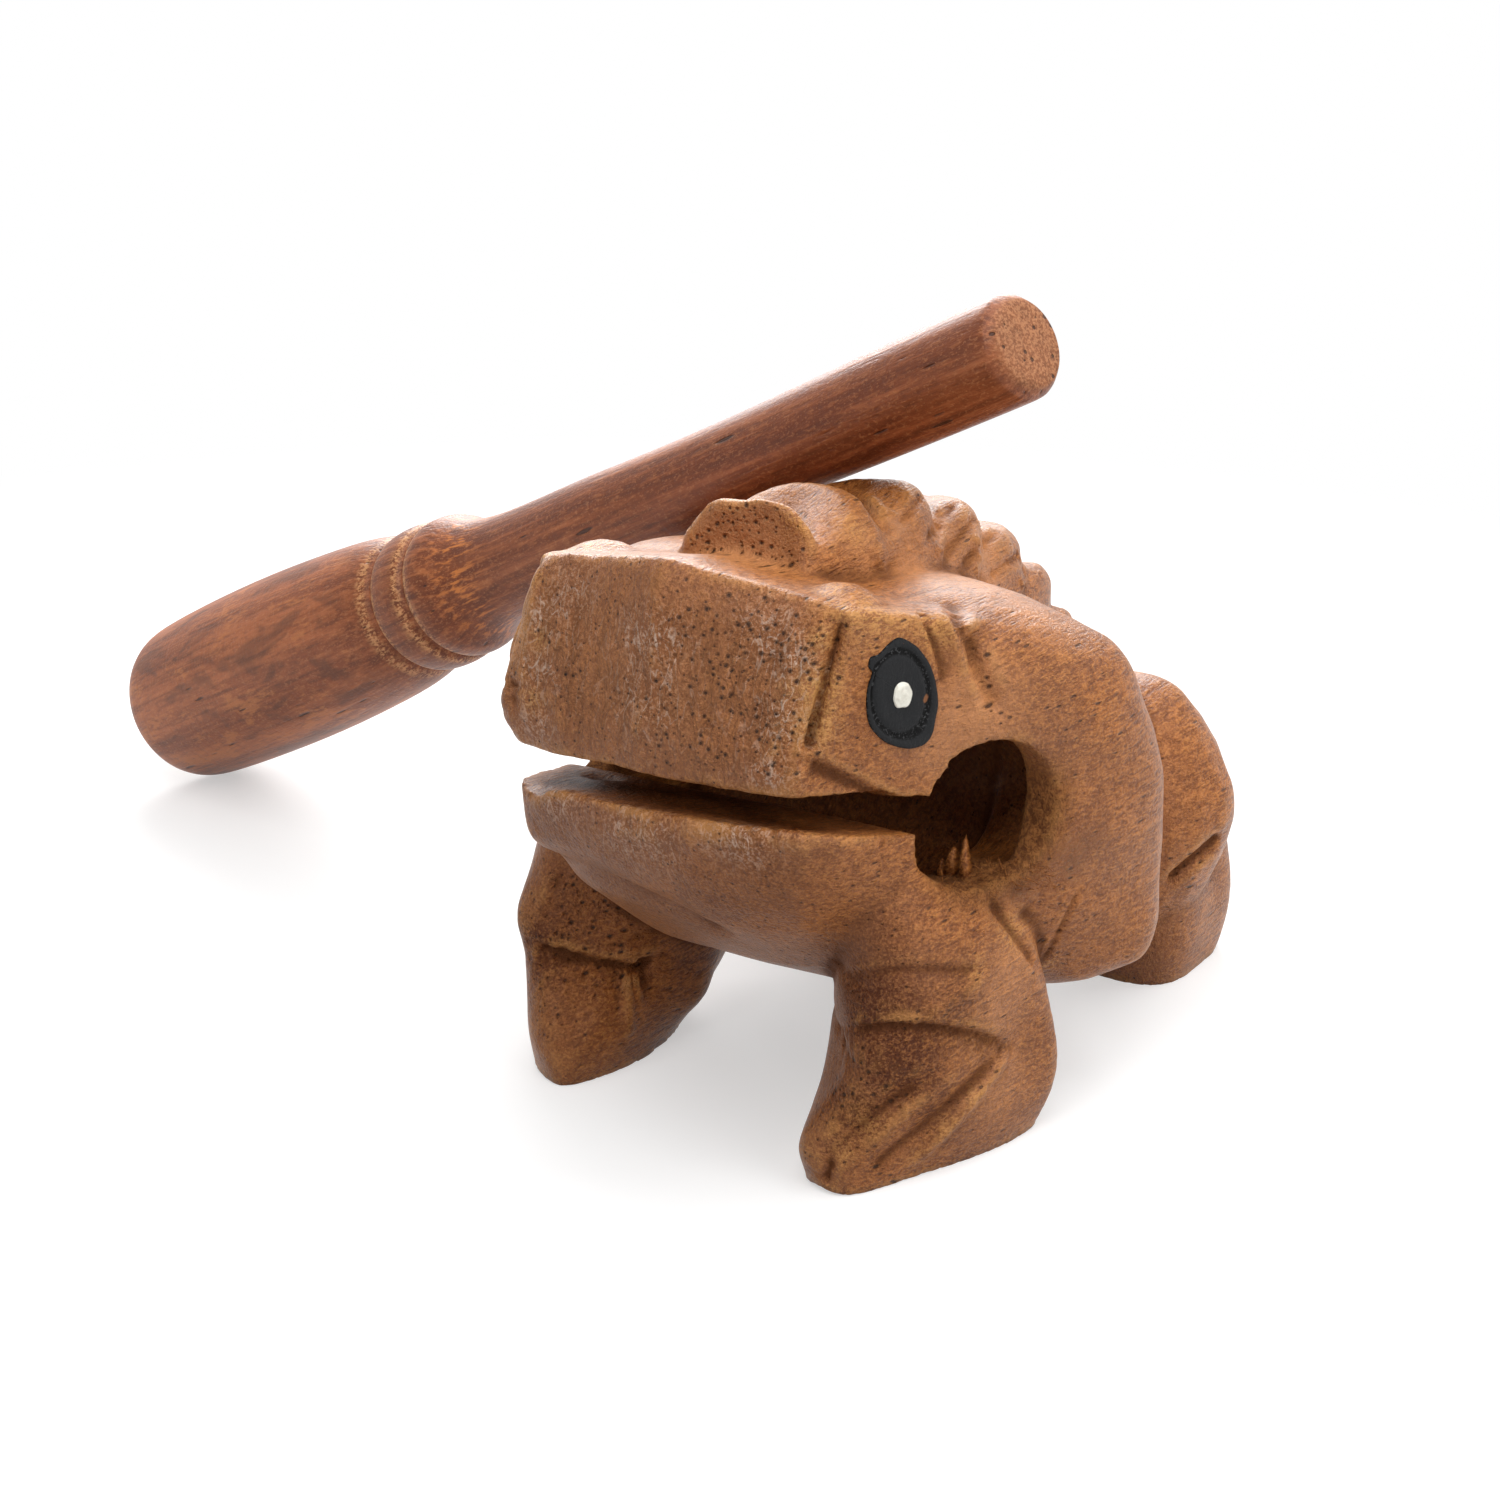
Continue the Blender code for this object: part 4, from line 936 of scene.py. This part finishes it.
class Finish:
    """A material, or the world, built from nodes."""

    def __init__(self, owner):
        self.owner = owner
        owner.use_nodes = True
        self.tree = owner.node_tree
        self.tree.nodes.clear()

    def node(self, kind, settings=None, sockets=None, out=0):
        """Adds a node: its settings first, then values or wires for its sockets. Gives back the wire of one
        output, or the wires of several."""
        made = self.tree.nodes.new("ShaderNode" + kind)
        for key, value in (settings or {}).items():
            setattr(made, key, value)
        for key, value in (sockets or {}).items():
            if isinstance(value, Wire):
                self.tree.links.new(value.socket, made.inputs[key])
            else:
                made.inputs[key].default_value = value
        if isinstance(out, tuple):
            return [Wire(self, made.outputs[key]) for key in out]
        return Wire(self, made.outputs[out]) if made.outputs else None

    def values(self, *names):
        """Values kept on the mesh's points."""
        return [self.node("Attribute", {"attribute_name": name}, out="Fac") for name in names]

    def stretched(self, place, stretch):
        """Coordinates in mm, stretched along the grain."""
        return self.node("VectorMath", {"operation": "MULTIPLY"}, {0: place, 1: [s / MM for s in stretch]})

    def cloud(self, place, stretch, scale, detail=3.0, roughness=0.55, distortion=0.0):
        """Noise from 0 to 1, stretched along the grain."""
        return self.node("TexNoise", {"noise_dimensions": "3D"},
                         {"Vector": self.stretched(place, stretch), "Scale": scale, "Detail": detail,
                          "Roughness": roughness, "Distortion": distortion})

    def between(self, value, low, high):
        """Smooth step from 0 at low to 1 at high."""
        return self.node("MapRange", {"interpolation_type": "SMOOTHSTEP"},
                         {0: value, 1: low, 2: high, 3: 0, 4: 1})

    def mix(self, share, first, second):
        """Colour between two colours, which are wires or red, green and blue."""
        first, second = (tint if isinstance(tint, Wire) else (*tint, 1) for tint in (first, second))
        return self.node("Mix", {"data_type": "RGBA", "clamp_factor": True},
                         {0: share, 6: first, 7: second}, out=2)

    def layered(self, colour, tints, layers):
        """A colour under layers of tints, laid on one after the other, each at its share."""
        for name, share in layers.items():
            colour = self.mix(share, colour, tints[name])
        return colour

    def pores(self, place, stretch, scale, largest, crowd):
        """Cut wood vessels, more where crowd is high: the dark pore and the dimple round it, 0 to 1."""
        gap, tint = self.node("TexVoronoi", {"feature": "F1"},
                              {"Vector": self.stretched(place, stretch), "Scale": scale},
                              out=("Distance", "Color"))
        chance = self.node("SeparateColor", sockets={0: tint}) + crowd - 1
        beyond = gap - self.node("Math", {"operation": "MINIMUM"}, {0: chance * PORE_GROWTH, 1: largest})
        return self.between(beyond, *PORE_EDGE), self.between(beyond, *DIMPLE_EDGE)

    def shade(self, colour, roughness, bump, bump_mm, **sockets):
        """Ends the finish in a Principled shader."""
        normal = self.node("Bump", sockets={"Strength": 1.0, "Distance": bump_mm * MM, "Height": bump})
        shader = self.node("BsdfPrincipled", sockets={"Base Color": colour, "Roughness": roughness,
                                                      "Normal": normal, **sockets})
        self.node("OutputMaterial", sockets={0: shader})
        return self.owner


# Among these tints: painted shade for the legs, the jaw, the folds and the stick hole; painted light for
# the head, comb and cheek; painted whitish highlights for the snout; worn and gold tones that partly stand
# in for highlights
CARVED_TINTS = {
    "dark_dash": (0.225, 0.066, 0.012), "pale_dash": (0.450, 0.156, 0.037),
    "patch": (0.170, 0.046, 0.009), "board": (0.225, 0.092, 0.045),
    "pale_grain": (0.56, 0.215, 0.055), "dark_grain": (0.150, 0.042, 0.009),
    "pale_speck": (0.64, 0.27, 0.078), "dark_speck": (0.130, 0.037, 0.008),
    "painted_light": (0.67, 0.295, 0.120), "end_grain": (0.250, 0.100, 0.045),
    "painted_shade_tint": (0.072, 0.016, 0.002), "worn": (0.58, 0.27, 0.085),
    "gold_and_highlight": (0.64, 0.32, 0.095), "fold": (0.085, 0.025, 0.006),
    "smudge": (0.050, 0.022, 0.012), "dark_tear": (0.070, 0.023, 0.007),
    "pale_tear": (0.31, 0.125, 0.036), "glint": (0.68, 0.51, 0.41),
    "painted_highlight": (0.58, 0.40, 0.30), "inner": (0.055, 0.021, 0.008),
    "wide_pore": (0.042, 0.015, 0.005), "fine_pore": (0.050, 0.017, 0.007),
}


def carved_wood():
    """Stained hardwood with the grain along the frog: flecks, pores, worn gold-toned edges that also carry
    a painted highlight, painted shade in the folds, on the legs, on the jaw and in the stick hole, painted
    light on the head, comb and cheek, and painted whitish highlights on the snout.
    """
    wood = Finish(bpy.data.materials.new("carved_wood"))
    place = wood.node("TexCoord", out="Object")
    worn, fold, end, torn, inner = wood.values("worn", "fold", "end_grain", "torn", "inner")
    smudge, painted_highlight, gold_and_highlight, porous = wood.values("smudge", "painted_highlight", "gold_and_highlight", "porous")
    painted_shade, painted_light, rippled = wood.values("painted_shade", "painted_light", "rippled")
    board = wood.cloud(place, (1, 0.35, 1), 0.06, 2.0)
    patch = wood.cloud(place, (1, 0.6, 1), 0.21, 3.0)
    dash = wood.cloud(place, (1, 0.3, 1), 1.8, 3.0, 0.7, 0.3)
    speck = wood.cloud(place, (1, 0.6, 1), 3.6, 2.0, 0.6)
    grain = wood.cloud(place, (1, 0.07, 1), 2.6, 3.0, 0.65, 0.4)
    upright = wood.cloud(place, (1, 0.6, 0.42), 0.8, 4.0, 0.62, 0.6)
    fuzz = wood.cloud(place, (1, 1, 0.6), 1.9, 4.0, 0.75, 1.0)
    waves = wood.cloud(place, (1, 0.6, 0.3), 0.75, 1.0, 0.5, 0.8)
    crowd = wood.between(patch, 0.36, 0.66)
    tubes = (1, 0.16, 1)
    wide, wide_dimple = wood.pores(place, tubes, 1.1, 0.16, 0.03 + 0.08 * crowd + 1.2 * porous)
    fine, fine_dimple = wood.pores(place, tubes, 1.7, 0.19,
                                   0.2 + 0.22 * crowd + 0.25 * porous + 0.1 * end)
    # How unevenly the painted shade on the legs and jaw lies, broken up by flecks and grain
    shade_breakup = 0.35 + 0.3 * wood.between(speck, 0.55, 0.44) + 0.35 * wood.between(grain, 0.56, 0.43)
    crest = wood.node("Math", {"operation": "ABSOLUTE"}, {0: waves - 0.5})
    glint = wood.between(crest, 0.03, 0.006) * wood.between(dash, 0.38, 0.54)

    tints = dict(CARVED_TINTS)
    tints["tear"] = wood.mix(wood.between(fuzz, 0.42, 0.58), tints["dark_tear"], tints["pale_tear"])
    base = wood.mix(wood.between(dash, 0.39, 0.61), tints["dark_dash"], tints["pale_dash"])
    colour = wood.layered(base, tints, {
        "patch": wood.between(patch, 0.52, 0.36) * 0.45,
        "board": wood.between(board, 0.58, 0.40) * 0.45,
        "pale_grain": wood.between(grain, 0.50, 0.64) * 0.5 * (1 - end),
        "dark_grain": wood.between(grain, 0.50, 0.36) * 0.5 * (1 - end),
        "pale_speck": wood.between(speck, 0.52, 0.64) * 0.4,
        "dark_speck": wood.between(speck, 0.48, 0.36) * 0.38,
        # painted light on the head top, comb and cheek
        "painted_light": painted_light * (0.25 + 0.7 * dash),
        "end_grain": end * 0.5,
        # painted shade on the legs and jaw
        "painted_shade_tint": painted_shade * shade_breakup,
        # worn edges: wear, and a painted highlight on the convex edges
        "worn": worn * wood.between(patch + speck * 0.4, 0.5, 0.85) * 0.55,
        # gold tone, partly a painted highlight on bevels and crests
        "gold_and_highlight": gold_and_highlight * wood.between(dash + speck, 0.85, 1.12) * 0.8,
        # painted shade in the folds, left out where painted light lies
        "fold": fold * (1 - painted_light) * (0.55 + 0.6 * speck),
        "smudge": smudge * wood.between(speck + dash, 0.85, 1.15) * 0.8,
        "tear": torn * 0.7,
        "glint": glint * rippled * (0.12 + 1.0 * painted_highlight),
        # painted highlight, whitish, on the snout and lip
        "painted_highlight": painted_highlight * wood.between(dash + speck, 0.98, 1.16) * 0.5,
        # painted shade deep in the stick hole
        "inner": inner * 0.85,
        "wide_pore": wide * 0.88,
        "fine_pore": fine * 0.75,
    })

    rough = 0.27 + 0.12 * speck + 0.08 * dash + 0.25 * fold + 0.3 * torn
    height = dash * 0.5 + speck * 0.3 + grain * (1 - end) * 0.5 + torn * fuzz * 0.7
    height = height + upright * (0.25 + 0.4 * end + 2.2 * rippled + 0.6 * porous)
    height = height - wide * 1.5 - fine * 0.8 - wide_dimple * 0.6 - fine_dimple * 0.25
    lacquer = (1 - painted_shade) * (1 - fold) * (1 - torn) * (0.06 + 0.2 * dash)
    return wood.shade(colour, rough, height, WOOD_BUMP, **{
        "Specular IOR Level": WOOD_GLOSS, "Coat Weight": lacquer, "Coat Roughness": LACQUER_ROUGH})


STICK_TINTS = {
    "dark_band": (0.250, 0.066, 0.022), "pale_band": (0.410, 0.124, 0.045),
    # The shaft tint darkens the shaft: darker wood, and partly painted shade
    "shaft": (0.115, 0.028, 0.010), "pale_streak": (0.50, 0.165, 0.063),
    "dark_streak": (0.090, 0.025, 0.011), "pale_fleck": (0.52, 0.195, 0.075),
    "dark_fleck": (0.095, 0.028, 0.013), "speck": (0.54, 0.23, 0.10),
    "dark_blotch": (0.085, 0.029, 0.015), "pale_blotch": (0.54, 0.19, 0.06),
    "rim": (0.64, 0.32, 0.14), "neck": (0.60, 0.20, 0.05),
    "dark_cut": (0.180, 0.070, 0.028), "pale_cut": (0.425, 0.198, 0.092),
    "pore": (0.040, 0.014, 0.007),
}


def stick_wood():
    """Redder turned hardwood, streaked along the stick, its cut ends paler and porous."""
    wood = Finish(bpy.data.materials.new("stick_wood"))
    place = wood.node("Attribute", {"attribute_name": "turned"}, out="Vector")
    cut, rim, neck, handle = wood.values("cut_end", "rim", "neck", "handle")
    band = wood.cloud(place, (1, 1, 0.07), 0.32, 3.0, 0.6, 0.2)
    streak = wood.cloud(place, (1, 1, 0.035), 1.2, 4.0, 0.65)
    fleck = wood.cloud(place, (1, 1, 0.3), 2.0, 3.0, 0.62)
    speck = wood.cloud(place, (1, 1, 0.6), 3.4, 2.0, 0.6)
    blotch = wood.cloud(place, (1, 1, 0.45), 0.2, 3.0, 0.6, 0.6)
    ring = wood.cloud(place, (0.05, 0.05, 1), 1.6, 2.0)
    crowd = wood.between(blotch, 0.4, 0.62)
    pores, dimple = wood.pores(place, (1, 1, 0.14), 0.85, 0.19, 0.18 + 0.25 * crowd + 0.8 * cut)

    tints = dict(STICK_TINTS)
    tints["cut"] = wood.mix(wood.between(speck, 0.42, 0.58), tints["dark_cut"], tints["pale_cut"])
    base = wood.mix(wood.between(band, 0.38, 0.62), tints["dark_band"], tints["pale_band"])
    colour = wood.layered(base, tints, {
        # darker shaft: darker wood, and partly painted shade
        "shaft": (1 - handle) * (1 - cut) * (0.32 + 0.5 * blotch),
        "pale_streak": wood.between(streak, 0.50, 0.66) * 0.5,
        "dark_streak": wood.between(streak, 0.50, 0.34) * 0.5,
        "pale_fleck": wood.between(fleck, 0.52, 0.68) * 0.3,
        "dark_fleck": wood.between(fleck, 0.48, 0.32) * 0.35,
        "speck": wood.between(speck, 0.54, 0.68) * 0.35,
        "dark_blotch": handle * wood.between(blotch, 0.48, 0.36) * 0.55,
        "pale_blotch": handle * wood.between(blotch + fleck * 0.4, 0.76, 0.88) * 0.6,
        "rim": rim * wood.between(fleck + speck, 0.88, 1.12),
        "neck": neck * wood.between(streak + fleck * 0.3, 0.66, 0.76),
        "cut": cut * 0.7,
        "pore": pores * 0.85,
    })
    rough = 0.34 + 0.16 * fleck + 0.2 * cut
    height = fleck * 0.45 + ring * 0.3 + streak * 0.5 + speck * 0.25 - pores * 1.2 - dimple * 0.3
    return wood.shade(colour, rough, height, STICK_BUMP, **{"Specular IOR Level": STICK_GLOSS})


BLACK_TINTS = {
    # The ring tint is painted shade in the pressed groove
    "ring": (0.0015, 0.0014, 0.0015), "flat": (0.0170, 0.0173, 0.0185),
    "speck": (0.13, 0.132, 0.135), "dust": (0.024, 0.024, 0.025), "bare": (0.24, 0.10, 0.045),
}


def eye_black():
    """Black paint with a pressed ring, darkened there as painted shade, thin and grey where it is flat,
    worn through in two spots.
    """
    paint = Finish(bpy.data.materials.new("eye_black"))
    place = paint.node("TexCoord", out="Object")
    bare, thick = paint.values("bare", "height")
    brush = paint.cloud(place, (1, 1, 0.3), 1.6, 4.0, 0.65)
    dust = paint.cloud(place, (1, 1, 1), 3.4, 3.0, 0.7)
    flat = paint.between(thick, 0.1, 0.24)
    # Near black in the pressed ring: painted shade in the groove
    colour = paint.layered(paint.mix(flat, BLACK_TINTS["ring"], BLACK_TINTS["flat"]), BLACK_TINTS, {
        "speck": paint.between(dust, 0.56, 0.63) * (1 - flat) * 0.8,
        "dust": paint.between(dust, 0.50, 0.66) * 0.5,
        "bare": paint.between(bare + brush * 0.3, 0.5, 0.75),
    })
    return paint.shade(colour, 0.42 + 0.25 * brush, brush * 0.8 + dust * (1.6 - flat), BLACK_BUMP,
                       **{"Specular IOR Level": PAINT_GLOSS})


def eye_white():
    """Off-white paint, dabbed on, unevenly thick."""
    paint = Finish(bpy.data.materials.new("eye_white"))
    dust = paint.cloud(paint.node("TexCoord", out="Object"), (1, 1, 1), 1.7, 3.0, 0.6)
    colour = paint.mix(paint.between(dust, 0.4, 0.7), (0.86, 0.83, 0.73), (0.72, 0.68, 0.58))
    return paint.shade(colour, 0.42 + 0.2 * dust, dust, WHITE_BUMP)


# Studio

def shown_rays(finish):
    """The wire that is 1 for rays from the camera, a mirror or glass."""
    shown, *others = finish.node("LightPath", out=("Is Camera Ray", "Is Glossy Ray", "Is Transmission Ray"))
    for rays in others:
        shown = finish.node("Math", {"operation": "MAXIMUM"}, {0: shown, 1: rays})
    return shown


def hang_lamps():
    """Soft square lamps round the object."""
    for name, (place, target, size, power) in LAMPS.items():
        lamp = bpy.data.lights.new(name, "AREA")
        lamp.shape, lamp.size, lamp.energy = "SQUARE", size, power
        point_along(in_scene(name, lamp), place, Vector(target) - Vector(place))


def light_world():
    """A world that shows white and lights the object faintly."""
    scene = bpy.context.scene
    scene.world = scene.world or bpy.data.worlds.new("studio")
    world = Finish(scene.world)
    fill = world.node("Background", sockets={"Color": WHITE, "Strength": WORLD_FILL})
    shown = world.node("Background", sockets={"Color": WHITE, "Strength": 1})
    blend = world.node("MixShader", sockets={0: shown_rays(world), 1: fill, 2: shown})
    world.node("OutputWorld", sockets={0: blend})


def lay_floor():
    """A pale floor that keeps the shadow and fades to white."""
    pale = Finish(bpy.data.materials.new("pale_floor"))
    rays = shown_rays(pale)
    place = pale.node("TexCoord", out="Object")
    span = pale.node("VectorMath", {"operation": "LENGTH"}, {0: place}, out="Value")
    far = pale.between(span, *FLOOR_FADE) * rays
    matt = pale.node("BsdfDiffuse", sockets={"Color": (FLOOR_WHITE, FLOOR_WHITE, FLOOR_WHITE, 1)})
    glow = pale.mix(rays, (0, 0, 0), (1, 1, 1))
    lift = pale.node("Emission", sockets={"Color": glow, "Strength": FLOOR_LIFT})
    lit = pale.node("AddShader", sockets={0: matt, 1: lift})
    white = pale.node("Emission", sockets={"Color": WHITE, "Strength": 1})
    pale.node("OutputMaterial", sockets={0: pale.node("MixShader", sockets={0: far, 1: lit, 2: white})})
    deselect()
    bpy.ops.mesh.primitive_plane_add(size=2 * FLOOR_HALF)
    floor = bpy.context.object
    floor.name = "pale_floor"
    floor.data.materials.append(pale.owner)


camera = make_camera()
hang_lamps()
light_world()
lay_floor()
wood = carved_wood()
skin = carve_frog(camera)
give(skin.piece, "frog", "carved_wood", wood, "frog_body")
paint_eyes(skin, eye_black(), eye_white())
torn_fibres(skin, wood)
turn_stick(stick_wood())
bpy.context.scene.view_settings.view_transform = "Standard"
